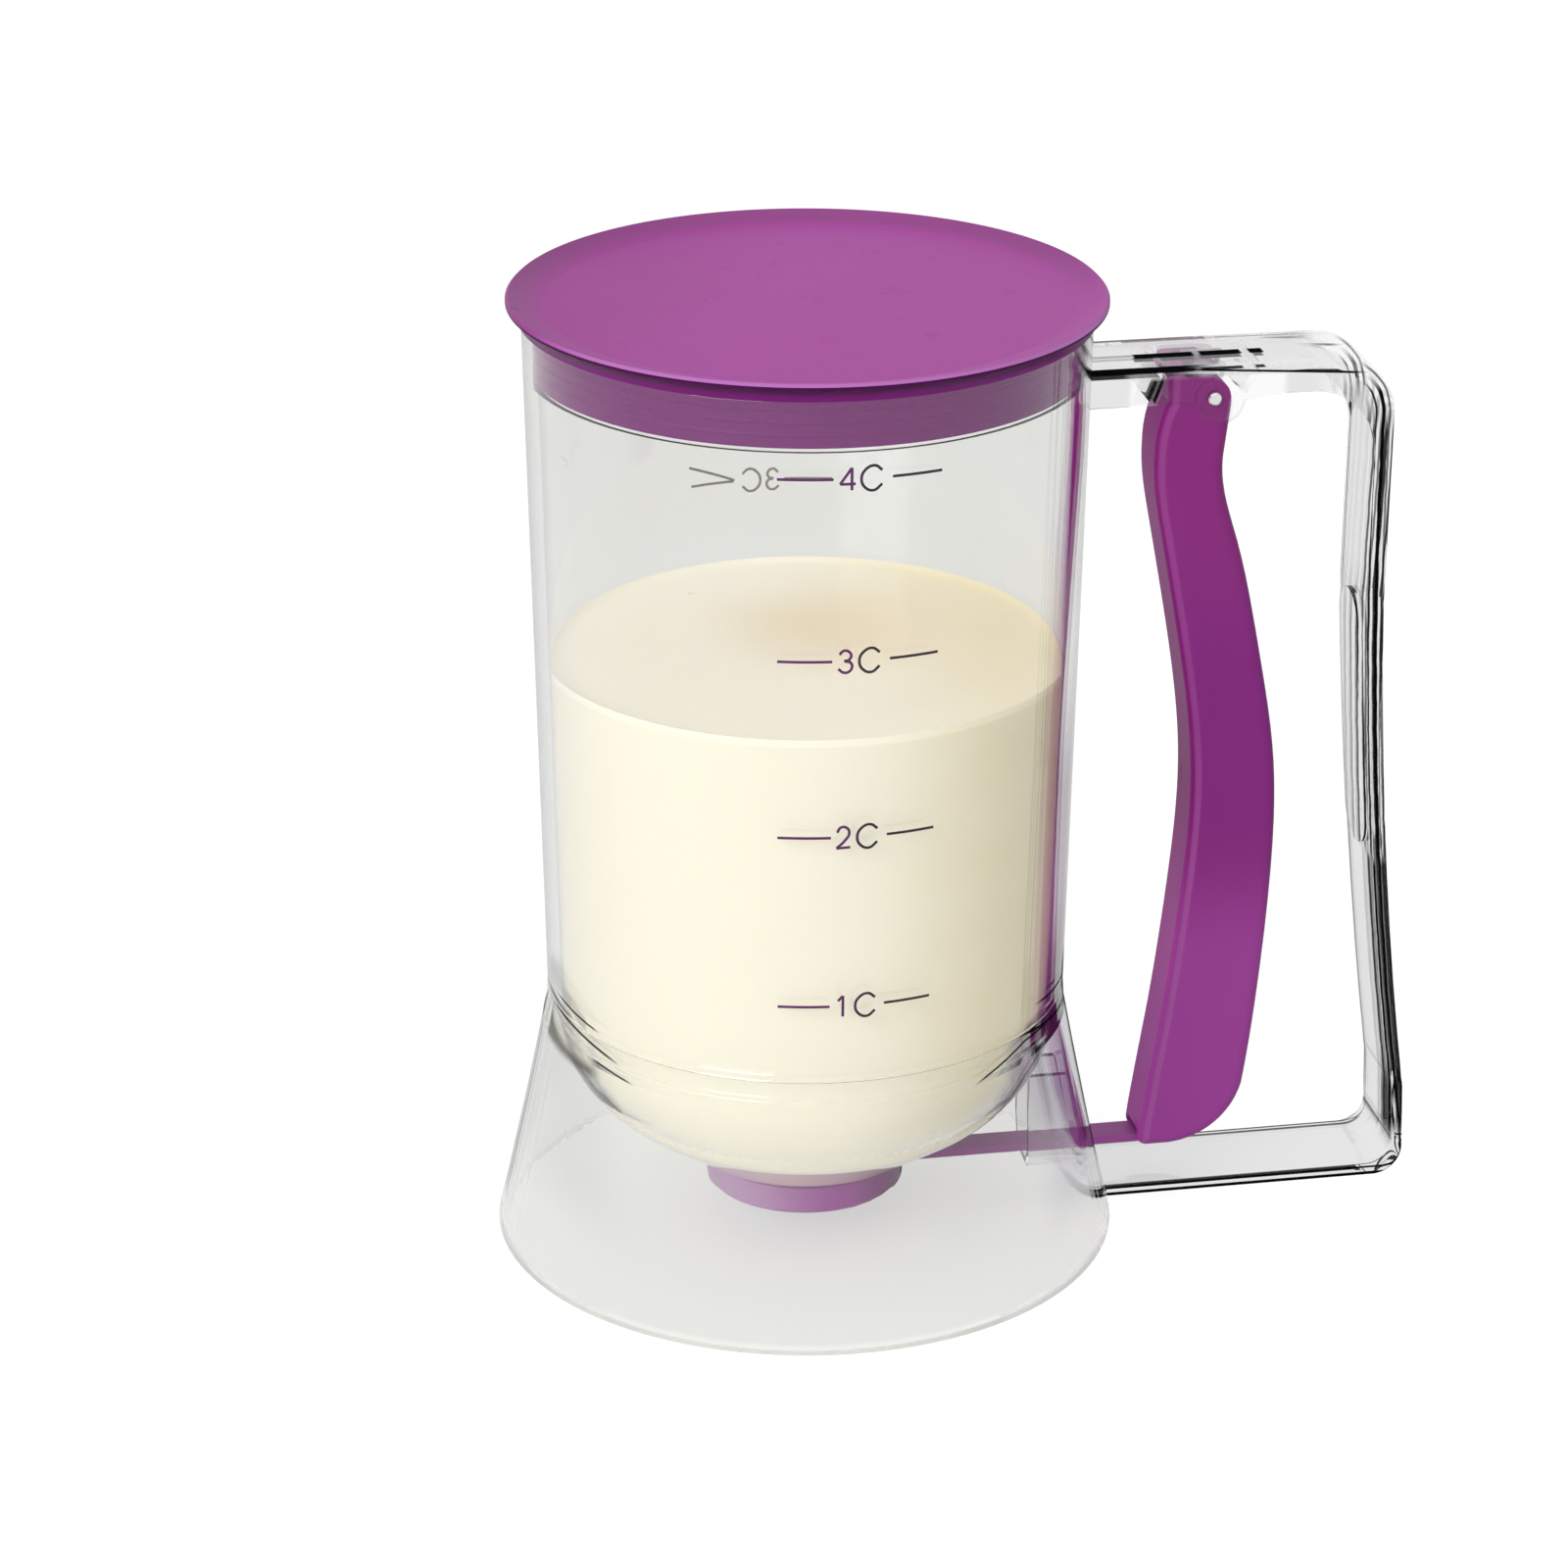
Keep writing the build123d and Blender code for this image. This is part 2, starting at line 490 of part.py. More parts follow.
def valve_cap():
    """The ring under the funnel: outlet hole, gate rails and the side slot for the gate."""
    bore_r = SPOUT_R + JOINT_GAP
    body = turned(outline(
        (0, CAP_FLOOR_Z), (CAP_BOTTOM_R - CAP_EDGE, CAP_FLOOR_Z), (CAP_BOTTOM_R, CAP_FLOOR_Z + CAP_EDGE),
        (CAP_TOP_R, CAP_TOP_Z), (0, CAP_TOP_Z)))
    well = Pos(0, 0, CAP_WELL_Z) * Cylinder(bore_r, CAP_TOP_Z, align=FOOT)
    groove_z = (SPOUT_Z + NECK_Z - BEAD_H) / 2 - JOINT_GAP
    groove = Pos(0, 0, groove_z) * Cylinder(bore_r + BEAD_OUT, BEAD_H + 2 * JOINT_GAP, align=FOOT)
    outlet = Pos(0, 0, CAP_FLOOR_Z) * Cylinder(OUTLET_R, CAP_FLOOR_T, align=FOOT)
    lane = TONGUE_W / 2 + SLIDE_GAP
    rail_top = SPOUT_Z - SLIDE_GAP
    tray_front = TONGUE_FRONT_X - LOOSE_GAP
    tray = plate(tray_front - RAIL_WALL, TONGUE_BACK_X, lane + RAIL_WALL, CAP_WELL_Z, rail_top)
    tray = tray - plate(tray_front, TONGUE_BACK_X, lane, CAP_WELL_Z, rail_top)
    side_slot = plate(TONGUE_BACK_X, CAP_TOP_R + CUT_MARGIN, lane, CAP_WELL_Z, GATE_TOP_Z + LOOSE_GAP)
    return body - well - groove - outlet + tray - side_slot


def outlet_seal():
    """The soft ring in the spout's groove, just over the gate."""
    low = SPOUT_Z - SEAL_PROUD
    return ring(SEAL_OUTER_R, SEAL_INNER_R, low, low + SEAL_H - JOINT_GAP)


def gate_slider():
    """The flat arm with the gate tongue at one end and the slotted lug at the other."""
    lug_half = PIN_R + RUNNING_GAP + LUG_WALL
    arm_end = LINK_X + lug_half
    half, narrow = TONGUE_W / 2, ARM_W / 2
    taper_x = TONGUE_BACK_X + TONGUE_TAPER
    plan = outline(
        (TONGUE_FRONT_X, -half), (TONGUE_BACK_X, -half), (taper_x, -narrow), (arm_end, -narrow),
        (arm_end, narrow), (taper_x, narrow), (TONGUE_BACK_X, half), (TONGUE_FRONT_X, half))
    for side in (-1, 1):
        plan = round_corner(plan, (TONGUE_FRONT_X, side * half), TONGUE_CORNER_R)
    arm = Pos(0, 0, GATE_Z) * extrude(plan, GATE_T)
    slot_low = LINK_Z - LOOSE_GAP / 2
    slot_high = LINK_Z + LINK_RISE + LOOSE_GAP / 2
    lug_top = slot_high + lug_half
    lug = slab(outline(
        (LINK_X - lug_half, GATE_Z), (arm_end, GATE_Z), (arm_end, lug_top - lug_half / 2),
        (LINK_X + lug_half / 2, lug_top), (LINK_X - lug_half / 2, lug_top),
        (LINK_X - lug_half, lug_top - lug_half / 2)), -LUG_T / 2, LUG_T / 2)
    slot_r = PIN_R + RUNNING_GAP
    slot_face = SlotCenterToCenter(slot_high - slot_low, 2 * slot_r, rotation=90)
    slot = slab(Pos(LINK_X, (slot_low + slot_high) / 2) * slot_face, -LUG_T, LUG_T)
    return arm + lug - slot


def trigger_outline():
    """The lever's side outline as an (x, z) face: neck, shoulder, front, sole and rear."""
    height = PIVOT_Z - TRIGGER_FOOT_Z
    front = [(PIVOT_X + x, TRIGGER_FOOT_Z + share * height) for x, share in TRIGGER_FRONT]
    rear = [(PIVOT_X + x, TRIGGER_FOOT_Z + share * height) for x, share in TRIGGER_REAR]
    neck = (NECK_FRONT, SHOULDER_BULGE, *NECK_REAR)
    neck_front, bulge, *neck_rear = [(PIVOT_X + x, PIVOT_Z + z) for x, z in neck]
    crest, brow = (PIVOT_X + CREST_X, TRIGGER_TOP_Z), (neck_front[0], TRIGGER_TOP_Z)
    toe = (PIVOT_X + TOE_X, TRIGGER_FOOT_Z)
    sole_end = (PIVOT_X + SOLE_END_X, TRIGGER_FOOT_Z)
    sole_bend = (PIVOT_X + SOLE_BEND[0], TRIGGER_FOOT_Z + SOLE_BEND[1])
    edges = [
        Polyline(rear[-1], *neck_rear, crest, brow, neck_front),
        ThreePointArc(neck_front, bulge, front[0]),
        Spline(*front, tangents=FRONT_END_SLOPES),
        Polyline(front[-1], toe, sole_end),
        ThreePointArc(sole_end, sole_bend, rear[0]),
        Spline(*rear, tangents=REAR_END_SLOPES),
    ]
    return round_corner(make_face(edges), toe, TOE_R)


def trigger():
    """The squeeze lever: a rounded shell open at the rear, with ribs, bosses and sockets."""
    half = TRIGGER_W / 2
    inside = half - TRIGGER_WALL
    profile = trigger_outline()
    body = slab(profile, -half, half)
    side_edges = body.edges().filter_by(lambda edge: abs(edge.center().Y) > inside)
    low_z, high_z = TRIGGER_FOOT_Z + TOE_R / 2, TRIGGER_TOP_Z - TOE_R / 2
    front_edges = side_edges.filter_by(lambda edge: edge.center().X < PIVOT_X)
    body = fillet(front_edges.filter_by(lambda edge: low_z < edge.center().Z < high_z), FRONT_EDGE_R)
    hollow = slab(Pos(TRIGGER_FRONT_WALL, -TRIGGER_FRONT_WALL) * profile, -inside, inside)
    spring_bay = plate(PIVOT_X - SPRING_BAY_IN, FRAME_HEEL_X, inside, PIVOT_Z - SPRING_BAY_DROP, FRAME_TOP_Z)
    shape = body - hollow - spring_bay
    rib_room = slab(Pos(-RIB_SETBACK, 0) * profile, -inside, inside) & body
    rib_step = (PIVOT_Z - TRIGGER_FOOT_Z) / (RIB_COUNT + 1)
    for index in range(RIB_COUNT):
        low_z = TRIGGER_FOOT_Z + rib_step * (index + 1)
        shape = shape + (plate(SEAM_R, FRAME_HEEL_X, inside, low_z, low_z + RIB_T) & rib_room)
    boss_far = CHEEK_INSIDE_W / 2 - BOSS_SIDE_GAP
    for side in (-1, 1):
        near, far = sorted((side * BOSS_GAP_W / 2, side * boss_far))
        shape = shape + rod_y(PIVOT_X, PIVOT_Z, BOSS_R, near, far)
    shape = shape - rod_y(PIVOT_X, PIVOT_Z, PIN_R + RUNNING_GAP, -boss_far, boss_far)
    socket = inside + SOCKET_DEPTH
    shape = shape - rod_y(LINK_X, LINK_Z, PIN_R + SEAT_GAP, -socket, socket)
    notch_top = GATE_TOP_Z + NOTCH_TOP_GAP
    return shape - plate(SEAM_R, LINK_X, ARM_W / 2 + GUIDE_SIDE_GAP, 0, notch_top)


def pivot_pin():
    """The plain pin across the two cheeks."""
    half = FRAME_TOP_W / 2
    pin = rod_y(PIVOT_X, PIVOT_Z, PIN_R, -half, half)
    return chamfer(pin.edges().filter_by(GeomType.CIRCLE), PIN_CHAMFER)


def link_pin():
    """The pin in the lever's foot, through the slot in the arm's lug."""
    half = TRIGGER_W / 2 - TRIGGER_WALL + SOCKET_DEPTH - SEAT_GAP
    return rod_y(LINK_X, LINK_Z, PIN_R, -half, half)


def wire(start, end):
    """A straight round wire with ball ends."""
    line = Line(start, end)
    length = (Vector(*end) - Vector(*start)).length
    bar = Plane(line @ 0, z_dir=line % 0) * Cylinder(WIRE_R, length, align=FOOT)
    return bar + Pos(*start) * Sphere(WIRE_R) + Pos(*end) * Sphere(WIRE_R)


def return_spring():
    """The torsion spring round the pivot pin: one leg under the web, one down the lever."""
    height = COIL_PITCH * COIL_TURNS
    path = Helix(COIL_PITCH, height, COIL_R)
    section = Plane(path @ 0, z_dir=path % 0) * Circle(WIRE_R)
    coil = Pos(PIVOT_X, height / 2, PIVOT_Z) * Rot(90, 0, 0) * sweep(section, path=path)
    side, high, low = PIVOT_X + COIL_R, height / 2, -height / 2
    web_z = FRAME_TOP_Z - TOP_WEB_T - WIRE_R - SEAT_GAP
    upper_bend = (side + UPPER_KICK, high, web_z)
    upper = wire((side, high, PIVOT_Z), upper_bend) + wire(upper_bend, (side - UPPER_LEG_X, high, web_z))
    lower_bend = (side - LOWER_KICK[0], low, PIVOT_Z - LOWER_KICK[1])
    lower_end = (PIVOT_X + LOWER_LEG[0], low, PIVOT_Z + LOWER_LEG[1])
    lower = wire((side, low, PIVOT_Z), lower_bend) + wire(lower_bend, lower_end)
    return coil + upper + lower


def batter_fill():
    """The batter in the bowl, as one closed body with a level top."""
    return turned(inner_face(BATTER_GAP, BATTER_Z))


PARTS = {
    "container": container,
    "base_skirt": base_skirt,
    "handle_frame": handle_frame,
    "lid": lid,
    "trigger": trigger,
    "pivot_pin": pivot_pin,
    "return_spring": return_spring,
    "gate_slider": gate_slider,
    "link_pin": link_pin,
    "valve_cap": valve_cap,
    "outlet_seal": outlet_seal,
    "batter_fill": batter_fill,
}

os.makedirs("parts", exist_ok=True)
for name, make in PARTS.items():
    export_step(make(), f"parts/{name}.step")
print(f"gate stroke {GATE_STROKE:.3f} mm, {GATE_STROKE / TRIGGER_TRAVEL / 1000:.6f} m per radian")
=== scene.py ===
"""A pancake batter dispenser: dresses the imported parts, adds the batter and the cup scale, and lights it.

Lengths are metres in the part's own frame: +Z up, +X towards the handle, -Y the side with the cup scale.
"""

import logging
import math
from dataclasses import dataclass
from enum import Enum
from functools import reduce
from typing import Any, Iterable, Optional, Sequence, Union

import bpy
from mathutils import Matrix, Vector

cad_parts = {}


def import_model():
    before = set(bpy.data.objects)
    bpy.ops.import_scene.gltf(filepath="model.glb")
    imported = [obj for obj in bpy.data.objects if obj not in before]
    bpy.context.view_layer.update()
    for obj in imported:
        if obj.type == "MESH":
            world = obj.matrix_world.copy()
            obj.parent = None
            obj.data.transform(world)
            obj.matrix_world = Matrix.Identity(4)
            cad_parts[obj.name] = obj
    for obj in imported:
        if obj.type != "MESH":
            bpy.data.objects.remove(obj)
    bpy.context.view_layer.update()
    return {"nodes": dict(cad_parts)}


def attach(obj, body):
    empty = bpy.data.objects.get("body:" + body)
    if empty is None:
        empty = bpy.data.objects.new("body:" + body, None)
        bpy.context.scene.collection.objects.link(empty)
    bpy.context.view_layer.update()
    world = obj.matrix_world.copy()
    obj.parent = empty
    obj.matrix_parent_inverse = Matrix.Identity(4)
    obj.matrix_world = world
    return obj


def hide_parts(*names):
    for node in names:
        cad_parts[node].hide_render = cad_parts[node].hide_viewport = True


LOG = logging.getLogger("dispenser")
MILLIMETRES = 1000.0  # in a metre
BATTER_LEVEL = 0.1131

Colour = tuple[float, float, float]
Point = tuple[float, float]
Span = tuple[float, float]  # from and to, such as where a soft edge starts and where it is full


# ---- Shader graph ---------------------------------------------------------------------------


class Value:
    """A number on a node graph, so that shader maths reads as plain expressions."""

    def __init__(self, graph: "Graph", socket: bpy.types.NodeSocket) -> None:
        """Wraps one output socket of the graph."""
        self.graph = graph
        self.socket = socket

    def _math(self, operation: str, *terms: Union["Value", float]) -> "Value":
        """One Math node over the terms."""
        node = self.graph.node("ShaderNodeMath", {"operation": operation}, dict(enumerate(terms)))
        return Value(self.graph, node.outputs[0])

    def __add__(self, other: Union["Value", float]) -> "Value":
        """Sum."""
        return self._math("ADD", self, other)

    __radd__ = __add__

    def __mul__(self, other: Union["Value", float]) -> "Value":
        """Product."""
        return self._math("MULTIPLY", self, other)

    __rmul__ = __mul__

    def __sub__(self, other: Union["Value", float]) -> "Value":
        """Difference."""
        return self._math("SUBTRACT", self, other)

    def __rsub__(self, other: float) -> "Value":
        """Difference from a plain number."""
        return self._math("SUBTRACT", other, self)

    def __truediv__(self, other: Union["Value", float]) -> "Value":
        """Quotient."""
        return self._math("DIVIDE", self, other)

    def __neg__(self) -> "Value":
        """The same size with the other sign."""
        return self._math("SUBTRACT", 0.0, self)

    def __abs__(self) -> "Value":
        """Size without sign."""
        return self._math("ABSOLUTE", self)

    def root(self) -> "Value":
        """Square root."""
        return self._math("SQRT", self)

    def larger(self, other: Union["Value", float]) -> "Value":
        """The larger of the two."""
        return self._math("MAXIMUM", self, other)

    def smaller(self, other: Union["Value", float]) -> "Value":
        """The smaller of the two."""
        return self._math("MINIMUM", self, other)

    def ramp(self, low: float, high: float) -> "Value":
        """Rises smoothly from 0 at low to 1 at high; high may lie below low.

        Args:
            low: the value that gives 0.
            high: the value that gives 1.

        Returns:
            The risen value, from 0 to 1.
        """
        settings = {"interpolation_type": "SMOOTHSTEP"}
        sockets = {"Value": self, "From Min": low, "From Max": high}
        return Value(self.graph, self.graph.node("ShaderNodeMapRange", settings, sockets).outputs["Result"])

    def band(self, centre: float, half: float, soft: float) -> "Value":
        """1 within half of the centre, falling to 0 over soft."""
        return abs(self - centre).ramp(half + soft, half)


Term = Union[Value, bpy.types.NodeSocket, float, Sequence[float]]


def strongest(values: Iterable[Value]) -> Value:
    """The largest of the values."""
    return reduce(Value.larger, values)


class Graph:
    """One material's node graph."""

    def __init__(self, name: str) -> None:
        """Starts an empty material.

        Args:
            name: the material's name.
        """
        self.material = bpy.data.materials.new(name)
        self.material.use_nodes = True
        self.tree = self.material.node_tree
        self.tree.nodes.clear()

    @classmethod
    def over(cls, tree: bpy.types.NodeTree) -> "Graph":
        """A graph that belongs to no material.

        Args:
            tree: the node tree, which is emptied.

        Returns:
            The graph over that tree.
        """
        graph = cls.__new__(cls)
        graph.tree = tree
        tree.nodes.clear()
        return graph

    def node(self, kind: str, settings: Optional[dict[str, Any]] = None,
             sockets: Optional[dict[Union[str, int], Term]] = None) -> bpy.types.Node:
        """Adds a node.

        Args:
            kind: the node's type.
            settings: attributes that are set first.
            sockets: values or links by socket name or number.

        Returns:
            The new node.
        """
        node = self.tree.nodes.new(kind)
        for key, value in (settings or {}).items():
            setattr(node, key, value)
        for key, value in (sockets or {}).items():
            source = value.socket if isinstance(value, Value) else value
            if isinstance(source, bpy.types.NodeSocket):
                self.tree.links.new(source, node.inputs[key])
            else:
                node.inputs[key].default_value = source
        return node

    def place(self) -> bpy.types.NodeSocket:
        """The point on the surface, in the object's own frame."""
        return self.node("ShaderNodeTexCoord").outputs["Object"]

    def axes(self, vector: bpy.types.NodeSocket) -> tuple[Value, Value, Value]:
        """A vector's three parts."""
        split = self.node("ShaderNodeSeparateXYZ", None, {0: vector})
        return tuple(Value(self, output) for output in split.outputs)

    def facing(self) -> tuple[Value, Value, Value]:
        """The surface normal's three parts, in the frame of the room."""
        return self.axes(self.node("ShaderNodeNewGeometry").outputs["Normal"])

    def grazing(self) -> Value:
        """0 where the surface is seen square on, 1 where it is seen edge on."""
        return Value(self, self.node("ShaderNodeLayerWeight", None, {"Blend": 0.5}).outputs["Facing"])

    def rays(self, *kinds: str) -> Value:
        """1 for rays of any of the kinds, which are named as a Light Path node names them."""
        path = self.node("ShaderNodeLightPath")
        return strongest(Value(self, path.outputs[kind]) for kind in kinds)

    def soft_rays(self) -> Value:
        """1 for shadow rays and diffuse light, 0 for what is seen."""
        return self.rays("Is Shadow Ray", "Is Diffuse Ray")

    def noise(self, scale: float, detail: float = 3.0, stretch: Sequence[float] = (1.0, 1.0, 1.0),
              rough: float = 0.5) -> Value:
        """Noise from 0 to 1 over the object's own frame.

        Args:
            scale: how fine it is, per metre.
            detail: octaves.
            stretch: factors on the three axes before the noise is read.
            rough: how strong the finer octaves are.

        Returns:
            The noise.
        """
        spread = self.node("ShaderNodeMapping", None, {"Vector": self.place(), "Scale": tuple(stretch)})
        sockets = {"Vector": spread.outputs[0], "Scale": scale, "Detail": detail, "Roughness": rough}
        return Value(self, self.node("ShaderNodeTexNoise", None, sockets).outputs["Fac"])

    def mix(self, factor: Term, first: Term, second: Term) -> bpy.types.NodeSocket:
        """A colour between two colours.

        Args:
            factor: 0 for the first, 1 for the second.
            first: the first colour, three numbers or a link.
            second: the second colour, likewise.

        Returns:
            The colour's socket.
        """
        first = (*first, 1.0) if isinstance(first, tuple) else first
        second = (*second, 1.0) if isinstance(second, tuple) else second
        node = self.node("ShaderNodeMix", {"data_type": "RGBA"}, {0: factor, 6: first, 7: second})
        return node.outputs[2]

    def bump(self, height: Value, distance: float, strength: float = 1.0) -> bpy.types.NodeSocket:
        """A normal bent by a height, which is 0 to 1 over the distance."""
        sockets = {"Height": height, "Distance": distance, "Strength": strength}
        return self.node("ShaderNodeBump", None, sockets).outputs[0]

    def shader(self, kind: str, colour: Colour, more: Optional[dict[str, float]] = None) -> bpy.types.Node:
        """A shader of one colour, with any more of its sockets set by name."""
        return self.node(kind, None, {"Color": (*colour, 1.0), **(more or {})})

    def blend(self, factor: Term, first: bpy.types.Node, second: bpy.types.Node) -> bpy.types.Node:
        """A Mix Shader node between two shaders."""
        return self.node("ShaderNodeMixShader", None, {0: factor, 1: first.outputs[0], 2: second.outputs[0]})

    def finish(self, shader: bpy.types.Node) -> bpy.types.Material:
        """Joins the shader to the output and returns the material."""
        self.node("ShaderNodeOutputMaterial", None, {"Surface": shader.outputs[0]})
        return self.material


# ---- Finishes -------------------------------------------------------------------------------


PLASTIC_IOR = 1.49
CLOUD: Span = (0.3, 0.7)
CLEAR_VEIL: Colour = (0.985, 0.985, 0.98)
COLOURED_VEIL: Colour = (0.97, 0.95, 0.93)
# The black of the painted lines that stand in for refraction in clear plastic.
LINE_BLACK: Colour = (0.003, 0.003, 0.004)
SQUARELY: Span = (0.6, 0.8)  # how far a normal must turn to an axis for its face to count


def scaled(colour: Colour, factor: float) -> Colour:
    """The colour times a factor."""
    return tuple(factor * part for part in colour)


@dataclass(frozen=True)
class Band:
    """A soft-edged line across a run of values."""

    centre: float
    half: float
    soft: float
    strength: float = 1.0

    def on(self, run: Value) -> Value:
        """The strength on the line, 0 off it."""
        return run.band(self.centre, self.half, self.soft) * self.strength


@dataclass(frozen=True)
class Zone:
    """A soft-edged field on one side of a part: where it starts across, and its ends in height."""

    across: Span
    ends: tuple[Span, ...]
    strength: float = 1.0

    def on(self, x: Value, z: Value) -> Value:
        """The field's strength at a point.

        Args:
            x: the place across.
            z: the height.

        Returns:
            The strength in the field, 0 outside.
        """
        found = x.ramp(*self.across) * self.strength
        for end in self.ends:
            found = found * z.ramp(*end)
        return found


@dataclass(frozen=True)
class ClearPlastic:
    """Polished clear plastic: faintly grey, with painted shade where it is seen edge on."""

    name: str
    tint: Colour = (0.95, 0.95, 0.935)
    # edge: painted shade where the plastic is seen edge on
    edge: Colour = (0.42, 0.40, 0.47)
    edge_start: float = 0.72
    rough: float = 0.01
    gloss: float = 0.35

    def tone(self, graph: Graph) -> bpy.types.NodeSocket:
        """The plastic's colour, a little cloudy, with painted shade at its grazing edges.

        Args:
            graph: the material's graph.

        Returns:
            The colour's socket.
        """
        cloud = graph.noise(9.0, 2.0, (1.0, 1.0, 0.35))
        body = graph.mix(cloud.ramp(*CLOUD), scaled(self.tint, 0.975), self.tint)
        return graph.mix(graph.grazing().ramp(self.edge_start, 1.0), body, self.edge)

    def material(self) -> bpy.types.Material:
        """Builds the material.

        Returns:
            The finished material.
        """
        graph = Graph(self.name)
        sockets = {
            "Base Color": self.tone(graph),
            "Roughness": graph.noise(38.0, 2.0) * 0.015 + self.rough,
            "IOR": PLASTIC_IOR,
            "Specular IOR Level": self.gloss,
            "Transmission Weight": 1.0,
            "Normal": graph.bump(graph.noise(60.0, 1.0), 0.00001),
        }
        glass = graph.node("ShaderNodeBsdfPrincipled", None, sockets)
        veil = graph.shader("ShaderNodeBsdfTransparent", CLEAR_VEIL)
        body = graph.blend(self.thin(graph), glass, veil)
        lines = self.lines(graph)
        if lines is not None:
            # Painted black lines over the plastic, standing in for refraction at thick edges.
            black = graph.shader("ShaderNodeBsdfDiffuse", LINE_BLACK)
            body = graph.blend(lines, body, black)
        return graph.finish(graph.blend(graph.soft_rays(), body, veil))

    def thin(self, graph: Graph) -> Union[Value, float]:
        """Where the plastic lets light straight through, unbent."""
        return 0.0

    def lines(self, graph: Graph) -> Optional[Value]:
        """Where painted black lines stand in for the refraction at thick edges, if anywhere."""
        return None


@dataclass(frozen=True)
class Arc:
    """A painted dark line, standing in for refraction, on the wall by the seam: its height at x0, its slope,
    and the spans over which it fades.
    """

    x0: float
    height: float
    slope: float
    half: float
    starts: Span
    stops: Span
    soft: float = 0.00012

    def on(self, x: Value, z: Value) -> Value:
        """1 on the line."""
        offset = z - self.height - self.slope * (x - self.x0)
        return offset.band(0.0, self.half, self.soft) * x.ramp(*self.starts) * x.ramp(*self.stops)


@dataclass(frozen=True)
class SeamPlastic(ClearPlastic):
    """Clear plastic with painted dark arcs by the seam and a painted dark outline, which stand in for
    refraction, on its outer face only.
    """

    arcs: tuple[Arc, ...] = ()
    arc_strength: float = 0.94
    outer: Span = (0.0467, 0.0469)
    # A painted dark outline where the outer face is seen edge on.
    outline_facing: Span = (0.87, 0.93)
    outline: Zone = Zone((0.030, 0.040), ((0.0585, 0.0530), (0.008, 0.016)), 0.85)

    def lines(self, graph: Graph) -> Value:
        """The painted arcs and the painted outline.

        Args:
            graph: the material's graph.

        Returns:
            How dark the lines are, from 0 to 1.
        """
        x, y, z = graph.axes(graph.place())
        outside = (x * x + y * y).root().ramp(*self.outer)
        found = strongest(arc.on(x, z) for arc in self.arcs) * self.arc_strength
        outline = graph.grazing().ramp(*self.outline_facing) * self.outline.on(x, z)
        return found.larger(outline) * outside


@dataclass(frozen=True)
class CupPlastic(SeamPlastic):
    """The cup's clear plastic, with painted shade near the seam: mauve towards the handle and grey on the
    other side.

    The painted grey shade lies above a slanting line through patch_at, on the front half of the wall.
    """

    # Painted mauve shade towards the handle, above the seam.
    shade: Colour = (0.42, 0.34, 0.41)
    shade_zone: Zone = Zone((0.0408, 0.0440), ((0.118, 0.088),))
    # A painted dark edge of shade towards the handle, near the seam.
    edging: Colour = (0.25, 0.20, 0.26)
    edging_zone: Zone = Zone((0.0440, 0.0450), ((0.0690, 0.0640), (0.0480, 0.0500)))
    # Painted deeper shade low on the handle side, around the seam.
    deep: Colour = (0.15, 0.10, 0.15)
    deep_zone: Zone = Zone((0.0375, 0.0430), ((0.070, 0.054), (0.036, 0.040)), 0.8)
    # Painted grey shade on the other side, above the seam.
    grey: Colour = (0.30, 0.29, 0.27)
    patch_at: Point = (-0.0462, 0.0516)
    patch_slope: float = 1.18
    patch_foot: Span = (-0.0002, 0.0002)
    patch_top: Span = (0.0040, 0.0022)
    patch_end: Span = (-0.0434, -0.0438)
    patch_front: Span = (0.002, 0.0)
    patch_strength: float = 0.8

    def tone(self, graph: Graph) -> bpy.types.NodeSocket:
        """The colour with the painted shades by the seam.

        Args:
            graph: the material's graph.

        Returns:
            The colour's socket.
        """
        x, y, z = graph.axes(graph.place())
        body = graph.mix(self.shade_zone.on(x, z), super().tone(graph), self.shade)
        body = graph.mix(self.edging_zone.on(x, z), body, self.edging)
        body = graph.mix(self.deep_zone.on(x, z), body, self.deep)
        rise = z - self.patch_at[1] + self.patch_slope * (x - self.patch_at[0])
        height = rise.ramp(*self.patch_foot) * rise.ramp(*self.patch_top)
        patch = height * x.ramp(*self.patch_end) * y.ramp(*self.patch_front)
        return graph.mix(patch * self.patch_strength, body, self.grey)


@dataclass(frozen=True)
class StandPlastic(SeamPlastic):
    """The stand's clear plastic, which stays bright at its thin lower rim and has painted shade on its
    flanks.
    """

    # Painted shade on the left flank.
    left: Colour = (0.86, 0.87, 0.85)
    left_zone: Zone = Zone((-0.036, -0.047), ((0.010, 0.024),))
    # Painted shade on the right flank.
    right: Colour = (0.76, 0.74, 0.79)
    right_zone: Zone = Zone((0.034, 0.046), ((0.006, 0.020),))
    rim: Span = (0.0022, 0.0012)
    rim_thin: float = 0.6
    collar: Zone = Zone((-0.0415, -0.0435), ((0.0496, 0.0486), (0.0405, 0.0425)), 0.7)

    def tone(self, graph: Graph) -> bpy.types.NodeSocket:
        """The colour with its painted shade on the flanks.

        Args:
            graph: the material's graph.

        Returns:
            The colour's socket.
        """
        x, _, z = graph.axes(graph.place())
        body = graph.mix(self.left_zone.on(x, z), super().tone(graph), self.left)
        return graph.mix(self.right_zone.on(x, z), body, self.right)

    def thin(self, graph: Graph) -> Value:
        """The lowest rim, and the left of the collar under the seam."""
        x, _, z = graph.axes(graph.place())
        return (z.ramp(*self.rim) * self.rim_thin).larger(self.collar.on(x, z))


